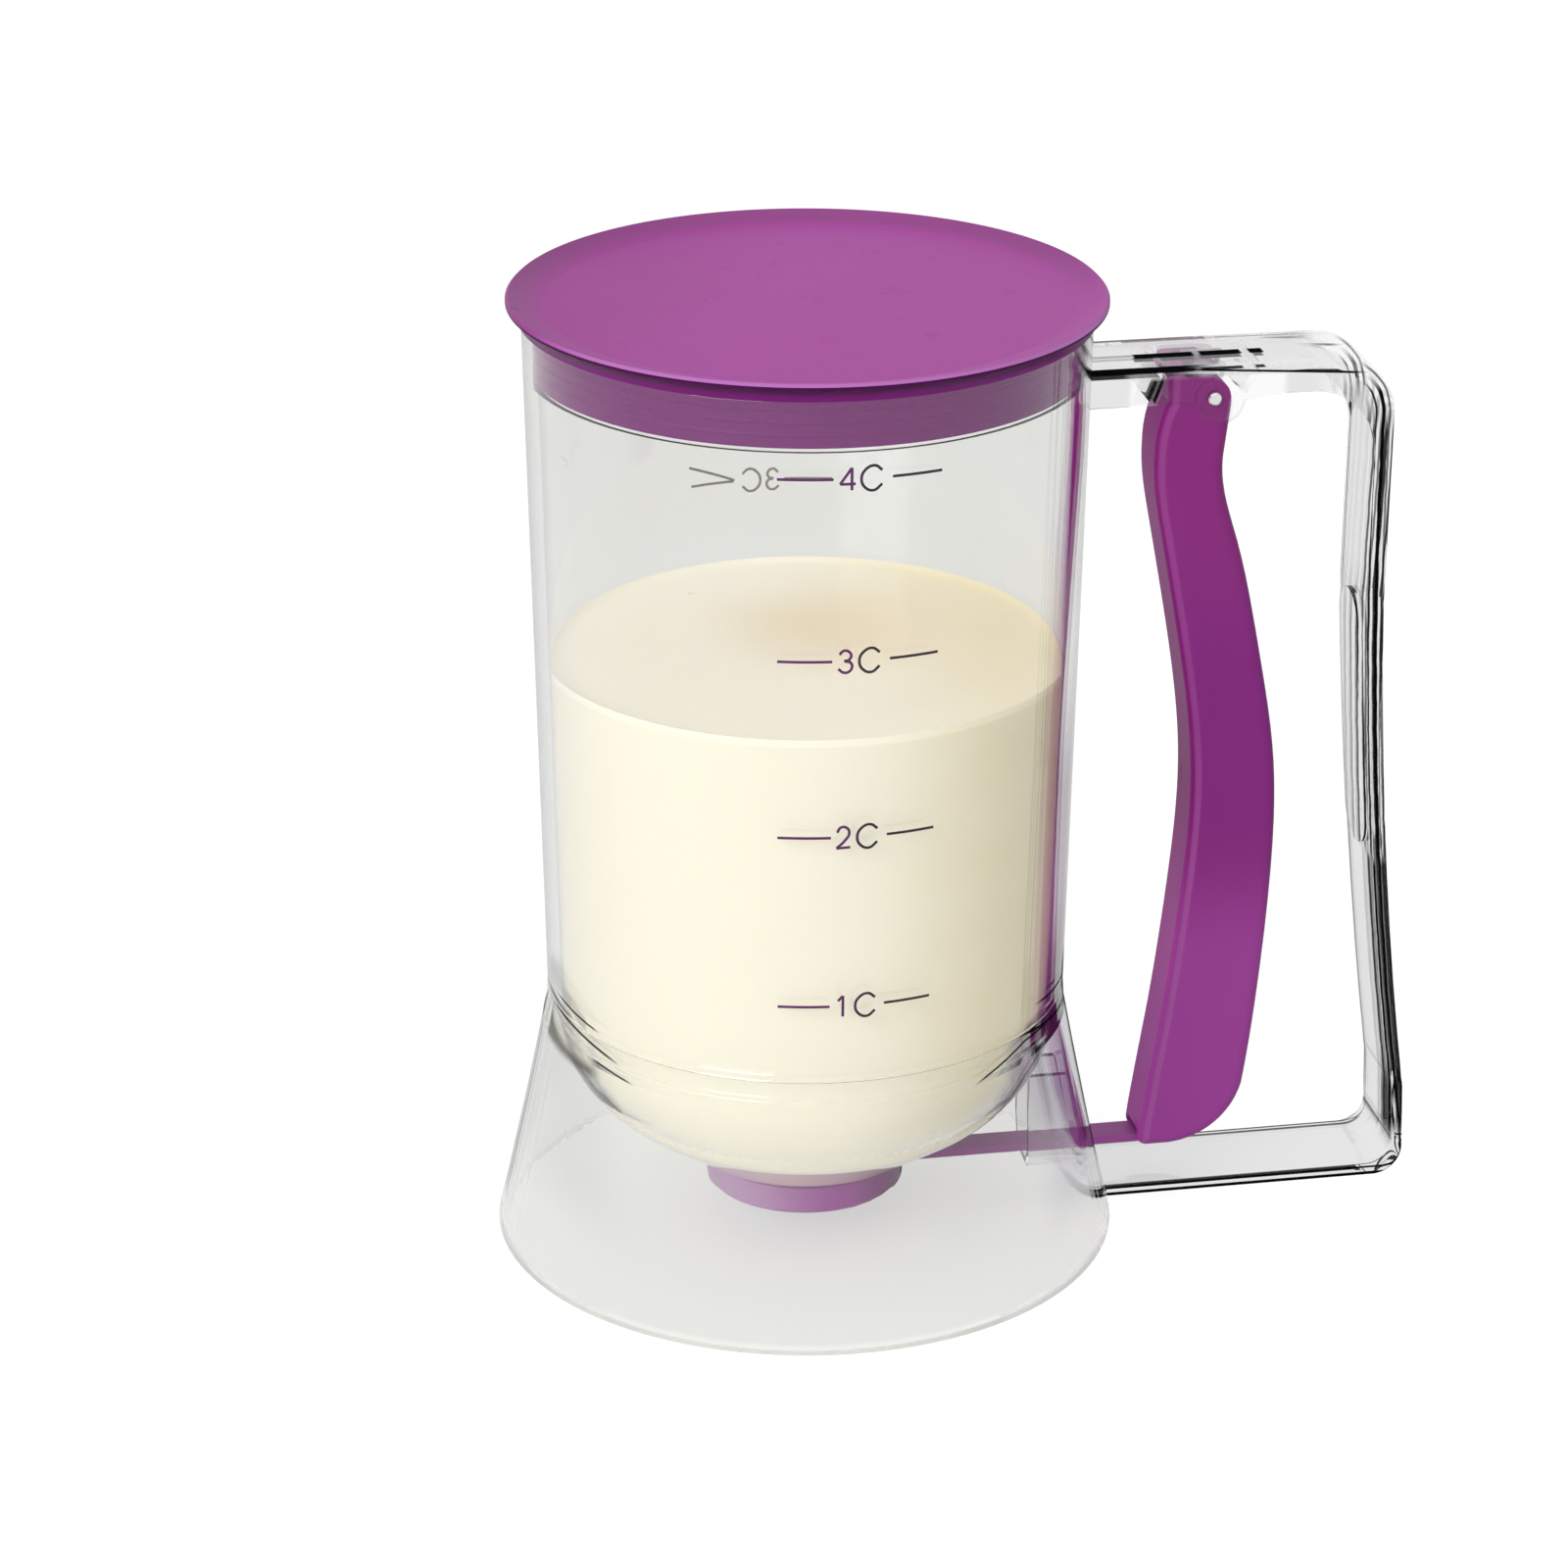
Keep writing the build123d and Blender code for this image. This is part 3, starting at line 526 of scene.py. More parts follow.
@dataclass(frozen=True)
class GripLines:
    """Painted dark lines along the grip, standing in for refraction, by their run from its outer edge over
    the side and round onto the inner face.

    A millimetre counts side_rate of the run on the side and inner_rate on the inner face. Heights are
    millimetres.
    """

    side_rate: float = 5.5
    inner_rate: float = 1.6
    waver: float = 2.2
    thick: Band = Band(8.0, 1.5, 0.8)
    thin: Band = Band(15.5, 0.7, 0.8, 0.97)
    third: Band = Band(22.0, 0.6, 0.9, 0.85)
    rim: Band = Band(1.7, 0.7, 0.8, 0.8)
    faint: tuple[Band, ...] = (
        Band(28.2, 0.6, 1.0, 0.5), Band(34.5, 0.9, 1.4, 0.28), Band(39.5, 0.5, 1.4, 0.16))
    lower: tuple[Band, ...] = (
        Band(4.8, 2.4, 0.8, 0.82), Band(2.3, 0.7, 0.7, 0.97), Band(7.4, 1.1, 0.7), Band(13.6, 1.0, 0.8),
        Band(19.5, 0.9, 0.9, 0.94), Band(25.0, 0.6, 1.5, 0.3))
    flare: Band = Band(18.0, 4.0, 0.8, 0.72)
    corner: Span = (162.0, 158.0)
    bend: Span = (158.0, 152.0)
    faint_below: Span = (126.0, 112.0)
    faint_least: float = 0.3
    pad_foot: Span = (65.5, 68.5)
    flare_below: Span = (27.0, 18.0)

    def on(self, run: Value, z: Value) -> Value:
        """How dark the painted lines are at a place on the grip.

        Args:
            run: the run from the outer edge.
            z: the height.

        Returns:
            From 0, clear, to 1, black.
        """
        upper = self.thick.on(run).larger(self.thin.on(run)) * z.ramp(*self.corner)
        upper = upper.larger(self.third.on(run) * z.ramp(*self.bend))
        inward = self.faint_least + (1.0 - self.faint_least) * z.ramp(*self.faint_below)
        inward = inward * z.ramp(*self.bend)
        upper = upper.larger(strongest(band.on(run) for band in self.faint) * inward).larger(self.rim.on(run))
        lower = strongest(band.on(run) for band in self.lower)
        lower = lower.larger(self.flare.on(run) * z.ramp(*self.flare_below))
        low, high = self.pad_foot
        return upper * z.ramp(low, high) + lower * z.ramp(high, low)


@dataclass(frozen=True)
class Rib:
    """The painted dark line of one slanted rib, standing in for refraction: a point at its foot, how far it
    leans, and its half width.
    """

    foot: Point
    lean: float
    half: float
    soft: float = 0.25

    def on(self, x: Value, z: Value) -> Value:
        """1 on the rib."""
        return (x - self.foot[0] - self.lean * (z - self.foot[1])).band(0.0, self.half, self.soft)


@dataclass(frozen=True)
class HandlePlastic(ClearPlastic):
    """The handle's clear plastic, with painted dark lines that stand in for the refraction at its thick
    edges.

    Lengths are millimetres in the part's frame, but those of corner and cheek are metres.
    """

    top: float = 165.0
    foot: float = 2.0
    bow: tuple[float, float, float] = (966.38, 141.16, 861.64)
    shoulder: float = 11.2
    heel: float = 5.5
    half_foot: float = 9.516
    half_slope: float = 0.00798
    widths: tuple[tuple[float, float, float], ...] = ((71.0, 2.4, 0.0181), (20.0, 2.1, 0.0059))
    grip: GripLines = GripLines()
    arm_waver: float = 0.4
    grip_from: Span = (98.0, 101.0)
    arm_to: Span = (102.0, 98.0)
    near_from: Span = (0.5, 0.7)
    far_strength: float = 0.05
    inner_facing: Span = (0.6, 0.75)
    inner_from: Span = (92.0, 96.0)
    inner_ends: tuple[Span, Span] = ((6.0, 12.0), (154.0, 149.0))
    over_above: Span = (150.0, 160.0)
    arm: Band = Band(0.62, 0.5, 0.2)
    arm_end: Span = (74.0, 66.0)
    slant_at: Point = (68.0, 0.9)
    slant_slope: float = 0.07
    slant: Band = Band(0.0, 0.14, 0.14)
    slant_ends: tuple[Span, Span] = ((64.0, 70.0), (101.0, 97.0))
    foot_lines: tuple[Band, ...] = (Band(0.3, 0.3, 0.1), Band(1.6, 0.16, 0.1))
    foot_below: Span = (13.0, 9.0)
    streak_row: Band = Band(-1.9, 1.1, 0.4)
    streaks: tuple[Band, ...] = (Band(64.0, 5.2, 0.5), Band(74.4, 3.5, 0.5), Band(80.9, 1.1, 0.4))
    pale_row: Band = Band(-1.4, 0.5, 0.3)
    pale_streak: Band = Band(54.0, 5.0, 0.5, 0.45)
    floor_edge: Band = Band(-0.15, 0.15, 0.15, 0.8)
    floor_below: Span = (8.0, 5.0)
    ribs: tuple[Rib, ...] = (Rib((60.9, 158.0), 0.385, 0.8), Rib((77.6, 159.0), 0.595, 0.4))
    ribs_below: Span = (162.2, 161.4)
    ribs_near: Span = (-3.4, -4.0)
    corner: Zone = Zone((0.088, 0.096), ((0.150, 0.156),), 0.75)
    cheek: Band = Band(0.071, 0.0135, 0.002, 0.85)
    cheek_ends: tuple[Span, Span] = ((0.1632, 0.1622), (0.140, 0.145))

    def depth(self, x: Value, z: Value) -> Value:
        """How far a point lies inside the handle's outer line, rounded at its two corners.

        Args:
            x: the place across.
            z: the height.

        Returns:
            The distance.
        """
        across, up = x - self.bow[0], z - self.bow[1]
        back = (across * across + up * up).root() - self.bow[2]
        depths = []
        for radius, other in ((self.shoulder, self.top - z), (self.heel, z - self.foot)):
            first, second = (radius - back).larger(0.0), (radius - other).larger(0.0)
            depths.append(radius - (first * first + second * second).root())
        return depths[0].smaller(depths[1])

    def arm_lines(self, depth: Value, x: Value, z: Value) -> Value:
        """Painted dark lines on the two side faces of the upper arm.

        Args:
            depth: how far inside the outer line.
            x: the place across.
            z: the height.

        Returns:
            1 on the lines.
        """
        offset = (self.top - z - self.slant_at[1]) - self.slant_slope * (x - self.slant_at[0])
        slant = self.slant.on(offset) * x.ramp(*self.slant_ends[0]) * x.ramp(*self.slant_ends[1])
        return (self.arm.on(depth) * x.ramp(*self.arm_end)).larger(slant)

    def top_lines(self, x: Value, y: Value) -> Value:
        """Painted dark streaks over the lever's head, on the upper face."""
        row = self.streak_row.on(y) * strongest(streak.on(x) for streak in self.streaks)
        return row.larger(self.pale_row.on(y) * self.pale_streak.on(x))

    def side_width(self, z: Value) -> Value:
        """How wide the grip's side looks at a height, so that lines run on round its edge."""
        return strongest(width + growth * (z - height) for height, width, growth in self.widths)

    def thin(self, graph: Graph) -> Value:
        """The upper outer corner, and the cheeks over the lever's head, which would otherwise gather shade.

        Args:
            graph: the material's graph.

        Returns:
            How far light passes unbent, from 0 to 1.
        """
        x, _, z = graph.axes(graph.place())
        cheek = self.cheek.on(x) * z.ramp(*self.cheek_ends[0]) * z.ramp(*self.cheek_ends[1])
        return self.corner.on(x, z).larger(cheek)

    def lines(self, graph: Graph) -> Value:
        """All the painted dark lines of the handle.

        Args:
            graph: the material's graph.

        Returns:
            How dark the lines are, from 0 to 1.
        """
        x, y, z = (MILLIMETRES * part for part in graph.axes(graph.place()))
        across, along, up = graph.facing()
        wave = graph.noise(210.0, 2.0, (0.4, 0.0, 1.0)) - 0.5
        depth = self.depth(x, z)
        drift = self.grip.waver * wave
        near = (-along).ramp(*self.near_from).larger(along.ramp(*self.near_from) * self.far_strength)
        low = z.ramp(*self.foot_below)
        upright = self.grip.on(self.grip.side_rate * depth + drift, z) * x.ramp(*self.grip_from)
        arm = self.arm_lines(depth + self.arm_waver * wave, x, z) * x.ramp(*self.arm_to)
        foot = strongest(band.on(depth) for band in self.foot_lines)
        sides = upright.larger(arm) * (1 - low) + foot * low

        reach = y + self.half_foot - self.half_slope * z
        run = self.grip.side_rate * self.side_width(z) + self.grip.inner_rate * reach + drift
        inner = (-across).ramp(*self.inner_facing) * x.ramp(*self.inner_from)
        inner = inner * z.ramp(*self.inner_ends[0]) * z.ramp(*self.inner_ends[1])
        over = self.top_lines(x, y) * up.ramp(*SQUARELY) * z.ramp(*self.over_above)
        floor = self.floor_edge.on(abs(y) - self.half_foot) * up.ramp(*SQUARELY) * z.ramp(*self.floor_below)
        ribs = strongest(rib.on(x, z) for rib in self.ribs) * z.ramp(*self.ribs_below)
        ribs = ribs * abs(across).ramp(*SQUARELY) * y.ramp(*self.ribs_near)
        return strongest((sides * near, self.grip.on(run, z) * inner, over, floor, ribs))


@dataclass(frozen=True)
class MouldedPlastic:
    """Coloured moulded plastic with a satin skin and faint flow marks."""

    name: str
    colour: Colour
    pale: Colour
    rough: float = 0.34
    gloss: float = 0.2
    grain: float = 0.000012
    passes: float = 0.0
    ior: float = PLASTIC_IOR
    drift: float = 0.8
    cloud_rough: float = 0.1
    scuffed: Span = (0.66, 0.8)
    scuff_pale: float = 0.12
    scuff_dull: Span = (0.6, 0.8)
    scuff_rough: float = 0.12

    def tone(self, graph: Graph, cloud: Value) -> bpy.types.NodeSocket:
        """The plastic's colour, drifting a little over the moulding."""
        return graph.mix(cloud.ramp(*CLOUD) * self.drift, self.colour, self.pale)

    def material(self) -> bpy.types.Material:
        """Builds the material.

        Returns:
            The finished material.
        """
        graph = Graph(self.name)
        cloud = graph.noise(22.0, 2.0)
        fine = graph.noise(900.0, 2.0)
        scuff = graph.noise(160.0, 5.0, (1.0, 1.0, 0.3), 0.62)
        worn = scuff.ramp(*self.scuffed) * self.scuff_pale
        dull = self.cloud_rough * cloud + self.scuff_rough * scuff.ramp(*self.scuff_dull)
        sockets = {
            "Base Color": graph.mix(worn, self.tone(graph, cloud), self.pale),
            "Roughness": self.rough + dull,
            "IOR": self.ior,
            "Specular IOR Level": self.gloss,
            "Normal": graph.bump(fine, self.grain),
        }
        plastic = graph.node("ShaderNodeBsdfPrincipled", None, sockets)
        if not self.passes:
            return graph.finish(plastic)
        veil = graph.shader("ShaderNodeBsdfTransparent", COLOURED_VEIL)
        return graph.finish(graph.blend(graph.soft_rays() * self.passes, plastic, veil))


@dataclass(frozen=True)
class LidPlastic(MouldedPlastic):
    """The lid's plastic, with painted light and shade: a pale painted highlight on its front edge, painted
    shade on the left and far side of its top, and deeper painted shadow on the plug and in the crease under
    the rim.
    """

    # Painted shade on the left side of the top.
    side: Colour = (0.285, 0.028, 0.235)
    side_from: Span = (-0.005, -0.06)
    side_turn: float = 0.35
    # Painted shade on the far rim of the top.
    brim: Colour = (0.245, 0.050, 0.205)
    brim_radius: Span = (0.0465, 0.0505)
    brim_back: Span = (-0.020, 0.020)
    brim_strength: float = 0.9
    # A painted pale highlight on the front chamfer.
    worn: Colour = (0.43, 0.145, 0.43)
    worn_radius: Span = (0.05236, 0.05244)
    worn_facing: Span = (0.9, 0.8)
    worn_front: Span = (-0.010, -0.035)
    # Painted shade on the plug and the seat, and a painted shadow in the crease under the rim.
    plug: Colour = (0.158, 0.004, 0.142)
    seat: Colour = (0.150, 0.005, 0.140)
    seat_above: Span = (0.1758, 0.1762)
    fold: Colour = (0.055, 0.001, 0.050)
    fold_above: Span = (0.1764, 0.1783)
    plug_below: Span = (0.1766, 0.1764)
    not_upward: Span = (0.35, 0.15)

    def tone(self, graph: Graph, cloud: Value) -> bpy.types.NodeSocket:
        """The colour with its painted light and shade, by side, height and the way the surface faces.

        Args:
            graph: the material's graph.
            cloud: slow noise over the moulding.

        Returns:
            The colour's socket.
        """
        x, y, z = graph.axes(graph.place())
        up = graph.facing()[2]
        radius = (x * x + y * y).root()
        # Painted shade on the left side.
        side = (x - self.side_turn * y).ramp(*self.side_from)
        top = graph.mix(side, super().tone(graph, cloud), self.side)
        brim = radius.ramp(*self.brim_radius) * y.ramp(*self.brim_back)
        top = graph.mix(brim * self.brim_strength, top, self.brim)
        # A painted highlight on the front chamfer.
        worn = radius.ramp(*self.worn_radius) * up.ramp(*self.worn_facing) * y.ramp(*self.worn_front)
        top = graph.mix(worn, top, self.worn)
        # Painted shade low down and a painted shadow under the rim.
        low = graph.mix(z.ramp(*self.seat_above), self.plug, self.seat)
        low = graph.mix(z.ramp(*self.fold_above), low, self.fold)
        return graph.mix(up.ramp(*self.not_upward).larger(z.ramp(*self.plug_below)), top, low)


@dataclass(frozen=True)
class LeverPlastic(MouldedPlastic):
    """The lever's plastic, with painted light and shade: painted shade down its front, a painted highlight
    along the front edges, painted light towards its foot and a painted band of shade at mid height.
    """

    # Painted shade down the front, lighter low down.
    front: Colour = (0.205, 0.008, 0.170)
    front_low: Colour = (0.400, 0.055, 0.370)
    front_fade: Span = (0.085, 0.045)
    front_facing: Span = (0.72, 0.92)
    # A painted highlight along the front edges.
    sheen: Colour = (0.34, 0.090, 0.32)
    sheen_fade: Span = (0.100, 0.050)
    sheen_least: float = 0.35
    sheen_more: float = 0.35
    edge_facing: Band = Band(0.5, 0.14, 0.16)
    edge_sideways: Span = (0.4, 0.6)
    # Painted light towards the foot.
    foot: Colour = (0.296, 0.050, 0.272)
    foot_fade: Span = (0.078, 0.046)
    # A painted band of shade at mid height.
    heart: Colour = (0.205, 0.021, 0.192)
    heart_band: Band = Band(0.092, 0.012, 0.03, 0.7)

    def tone(self, graph: Graph, cloud: Value) -> bpy.types.NodeSocket:
        """The colour with its painted light and shade, by height and by the way the surface faces.

        Args:
            graph: the material's graph.
            cloud: slow noise over the moulding.

        Returns:
            The colour's socket.
        """
        z = graph.axes(graph.place())[2]
        across, along, _ = graph.facing()
        forward = -across
        body = graph.mix(z.ramp(*self.foot_fade), super().tone(graph, cloud), self.foot)
        body = graph.mix(self.heart_band.on(z), body, self.heart)
        front = graph.mix(z.ramp(*self.front_fade), self.front, self.front_low)
        body = graph.mix(forward.ramp(*self.front_facing), body, front)
        edge = self.edge_facing.on(forward) * abs(along).ramp(*self.edge_sideways)
        strength = self.sheen_least + self.sheen_more * z.ramp(*self.sheen_fade)
        return graph.mix(edge * strength, body, self.sheen)


@dataclass(frozen=True)
class RingPlastic(MouldedPlastic):
    """The valve ring's plastic, with a painted pale reflection on one side and painted shade on the other."""

    # A painted pale reflection on one side.
    rubbed: Colour = (0.47, 0.31, 0.48)
    rubbed_from: Span = (0.004, -0.019)
    # Painted shade on the side away from the reflection.
    deep: Colour = (0.095, 0.018, 0.085)
    deep_from: Span = (0.004, 0.018)
    deep_strength: float = 0.9

    def tone(self, graph: Graph, cloud: Value) -> bpy.types.NodeSocket:
        """The colour across the ring, with its painted reflection and painted shade.

        Args:
            graph: the material's graph.
            cloud: slow noise over the moulding.

        Returns:
            The colour's socket.
        """
        x = graph.axes(graph.place())[0]
        body = graph.mix(x.ramp(*self.rubbed_from), super().tone(graph, cloud), self.rubbed)
        return graph.mix(x.ramp(*self.deep_from) * self.deep_strength, body, self.deep)


@dataclass(frozen=True)
class BrightSteel:
    """Drawn steel, bright with fine scratches along its length."""

    name: str
    colour: Colour
    rough: float
    along: Sequence[float]

    def material(self) -> bpy.types.Material:
        """Builds the material.

        Returns:
            The finished material.
        """
        graph = Graph(self.name)
        streak = graph.noise(2600.0, 2.0, self.along)
        cloud = graph.noise(420.0, 3.0)
        sockets = {
            "Base Color": graph.mix(cloud.ramp(0.45, 0.8) * 0.6, self.colour, scaled(self.colour, 0.62)),
            "Metallic": 1.0,
            "Roughness": self.rough + 0.12 * streak,
            "Normal": graph.bump(streak, 0.00001),
        }
        return graph.finish(graph.node("ShaderNodeBsdfPrincipled", None, sockets))


@dataclass(frozen=True)
class Silicone:
    """Milky soft silicone."""

    name: str
    colour: Colour = (0.72, 0.72, 0.70)

    def material(self) -> bpy.types.Material:
        """Builds the material.

        Returns:
            The finished material.
        """
        graph = Graph(self.name)
        cloud = graph.noise(300.0, 3.0)
        sockets = {
            "Base Color": graph.mix(cloud, self.colour, scaled(self.colour, 0.85)),
            "Roughness": 0.5 + 0.15 * cloud,
            "Subsurface Weight": 0.3,
            "Subsurface Scale": 0.001,
            "Normal": graph.bump(graph.noise(1500.0), 0.00002),
        }
        return graph.finish(graph.node("ShaderNodeBsdfPrincipled", None, sockets))


@dataclass(frozen=True)
class WetBatter:
    """Thin batter: cream and wet, with warmer painted shade in the hollow of its top and towards the handle,
    darker painted shade low down, and a painted glow on its top and in the bowl.
    """

    name: str
    cream: Colour = (0.96, 0.90, 0.74)
    # Painted warm shade towards the handle and, faintly, low down.
    beige: Colour = (0.84, 0.73, 0.42)
    beige_from: Span = (0.004, 0.05)
    beige_waver: float = 0.012
    beige_most: float = 0.9
    beige_below: Span = (0.050, 0.014)
    beige_low: float = 0.1
    # Painted darker shade low towards the handle.
    under: Colour = (0.47, 0.42, 0.26)
    under_zone: Zone = Zone((0.012, 0.034), ((0.048, 0.028),), 0.85)
    # Painted mauve shade on the flank of the bowl towards the handle.
    mauve: Colour = (0.29, 0.21, 0.27)
    mauve_ends: tuple[Span, Span] = ((0.0560, 0.0510), (0.026, 0.034))
    mauve_at: Point = (0.0400, 0.052)
    mauve_slant: float = 2.0
    mauve_least: float = 0.030
    mauve_soft: Span = (-0.001, 0.003)
    mauve_strength: float = 0.9
    # Painted warm shade in the hollow of the top.
    hollow: Colour = (0.85, 0.71, 0.46)
    hollow_at: Point = (0.008, 0.011)
    hollow_reach: float = 0.024
    hollow_from: Span = (1.25, 0.15)
    hollow_waver: float = 0.5
    # A painted glow on the top, and another in the bowl under the seam.
    glow: Colour = (0.085, 0.082, 0.070)
    bowl_glow: Colour = (0.095, 0.088, 0.070)
    bowl_zone: Zone = Zone((0.022, -0.008), ((0.0500, 0.0440),))
    top_below: Span = (0.0008, 0.0002)
    level: float = BATTER_LEVEL

    def flank(self, x: Value, z: Value) -> Value:
        """The flank of the bowl towards the handle, whose edge slants inwards going down.

        Args:
            x: the place across.
            z: the height.

        Returns:
            How strong the painted mauve shade is.
        """
        slant = self.mauve_at[0] - self.mauve_slant * (self.mauve_at[1] - z)
        flank = (x - slant.larger(self.mauve_least)).ramp(*self.mauve_soft)
        return flank * z.ramp(*self.mauve_ends[0]) * z.ramp(*self.mauve_ends[1]) * self.mauve_strength

    def material(self) -> bpy.types.Material:
        """Builds the material.

        Returns:
            The finished material.
        """
        graph = Graph(self.name)
        x, y, z = graph.axes(graph.place())
        swirl = graph.noise(45.0, 3.0, (1.0, 1.0, 2.5))
        side = (x + self.beige_waver * swirl).ramp(*self.beige_from) * self.beige_most
        low = z.ramp(*self.beige_below) * self.beige_low
        body = graph.mix(side.larger(low), self.cream, self.beige)
        body = graph.mix(self.under_zone.on(x, z), body, self.under)
        body = graph.mix(self.flank(x, z), body, self.mauve)
        dx, dy = ((part - centre) / self.hollow_reach for part, centre in zip((x, y), self.hollow_at))
        reach = (dx * dx + dy * dy).root() + self.hollow_waver * (swirl - 0.5)
        on_top = z.ramp(*(self.level - below for below in self.top_below))
        bowl = graph.mix(self.bowl_zone.on(x, z), (0.0, 0.0, 0.0), self.bowl_glow)
        sockets = {
            "Base Color": graph.mix(reach.ramp(*self.hollow_from) * on_top, body, self.hollow),
            "Roughness": 0.24 + 0.14 * swirl,
            "IOR": 1.38,
            "Subsurface Weight": 0.15,
            "Subsurface Radius": (1.0, 0.8, 0.5),
            "Subsurface Scale": 0.004,
            "Coat Weight": 0.2,
            "Coat Roughness": 0.08,
            # Painted glow: on the top, and in the bowl under the seam.
            "Emission Color": graph.mix(on_top, bowl, self.glow),
            "Emission Strength": 1.0,
            "Normal": graph.bump(graph.noise(70.0, 2.0, (1.0, 1.0, 0.6)), 0.0004, 0.5),
        }
        return graph.finish(graph.node("ShaderNodeBsdfPrincipled", None, sockets))


@dataclass(frozen=True)
class PrintInk:
    """Screen print with slightly uneven cover."""

    name: str
    colour: Colour
    other: Colour
    worn: Colour
    split: Span = (-0.0003, 0.0003)

    def material(self) -> bpy.types.Material:
        """Builds the material.

        Returns:
            The finished material.
        """
        graph = Graph(self.name)
        cover = graph.noise(700.0, 3.0)
        tone = graph.mix(graph.axes(graph.place())[0].ramp(*self.split), self.colour, self.other)
        sockets = {
            "Base Color": graph.mix(cover.ramp(0.55, 0.8) * 0.4, tone, self.worn),
            "Roughness": 0.42 + 0.2 * cover,
            "Normal": graph.bump(cover, 0.00002),
        }
        return graph.finish(graph.node("ShaderNodeBsdfPrincipled", None, sockets))


# ---- Modelling helpers ----------------------------------------------------------------------


def pick(obj: bpy.types.Object) -> None:
    """Makes one object the only selected one, and the active one.

    Args:
        obj: the object.
    """
    bpy.ops.object.select_all(action="DESELECT")
    obj.select_set(True)
    bpy.context.view_layer.objects.active = obj


def settle(obj: bpy.types.Object, name: str, angle: float = 40.0) -> bpy.types.Object:
    """Moves the object's place into its mesh, smooths it by angle and names it.

    Args:
        obj: the object.
        name: its new name, which its mesh gets too.
        angle: degrees between faces, past which an edge stays sharp.

    Returns:
        The same object.
    """
    pick(obj)
    bpy.ops.object.transform_apply(location=True, rotation=True, scale=True)
    bpy.ops.object.shade_smooth_by_angle(angle=math.radians(angle))
    obj.name = name
    obj.data.name = name
    return obj


def dress(obj: bpy.types.Object, material: bpy.types.Material) -> None:
    """Gives the object this one material."""
    obj.data.materials.clear()
    obj.data.materials.append(material)


def steps_to(start: Point, end: Point, steps: int) -> list[Point]:
    """Points in equal steps along a straight line.

    Args:
        start: where the line starts, which isn't one of the points.
        end: where it ends, which is the last point.
        steps: how many points.

    Returns:
        The points.
    """
    across, up = end[0] - start[0], end[1] - start[1]
    shares = [step / steps for step in range(1, steps + 1)]
    return [(start[0] + across * share, start[1] + up * share) for share in shares]


def build_up(name: str, profile: Sequence[Point], sides: int) -> bpy.types.Object:
    """A round solid, built from a filled circle that is extruded and resized ring by ring.

    Args:
        name: the object's name.
        profile: (radius, height) of each ring, from the centre of the foot to the centre of the top.
        sides: corners of each ring.

    Returns:
        The closed, smooth object.
    """
    radius, height = profile[0]
    foot = (0, 0, height)
    bpy.ops.object.select_all(action="DESELECT")
    bpy.ops.mesh.primitive_circle_add(vertices=sides, radius=radius, fill_type="NGON", location=foot)
    obj = bpy.context.active_object
    bpy.ops.object.mode_set(mode="EDIT")
    bpy.ops.mesh.select_all(action="SELECT")
    for next_radius, next_height in profile[1:]:
        step = (0, 0, next_height - height)
        bpy.ops.mesh.extrude_region_move(TRANSFORM_OT_translate={"value": step})
        factor = next_radius / radius
        bpy.ops.transform.resize(value=(factor, factor, 1), center_override=(0, 0, next_height))
        radius, height = next_radius, next_height
    bpy.ops.mesh.select_all(action="SELECT")
    bpy.ops.mesh.normals_make_consistent(inside=False)
    bpy.ops.object.mode_set(mode="OBJECT")
    return settle(obj, name)


# ---- Sub-assemblies -------------------------------------------------------------------------


class Side(Enum):
    """Which side of the cup a scale is printed on, in degrees round from the front."""

    FRONT = 0.0
    BACK = 180.0


# Each mark's pen strokes, as points that a smooth line runs through, in a box one wide and one high.
GLYPHS: dict[str, tuple[tuple[Point, ...], ...]] = {
    "1": (((0.22, 0.76), (0.55, 1.0)), ((0.55, 1.0), (0.55, 0.0))),
    "2": (((0.06, 0.74), (0.3, 0.98), (0.68, 0.95), (0.84, 0.7), (0.55, 0.34), (0.02, 0.0)),
          ((0.02, 0.0), (0.92, 0.03))),
    "3": (((0.08, 0.82), (0.42, 1.0), (0.82, 0.82), (0.72, 0.58), (0.4, 0.52)),
          ((0.4, 0.52), (0.84, 0.4), (0.84, 0.12), (0.45, -0.02), (0.02, 0.16))),
    "4": (((0.76, 1.0), (0.02, 0.28)), ((0.02, 0.28), (1.0, 0.28)), ((0.76, 1.0), (0.76, 0.0))),
    "C": (((0.97, 0.8), (0.62, 1.0), (0.22, 0.86), (0.03, 0.5), (0.2, 0.13), (0.58, 0.0), (0.97, 0.24)),),
}


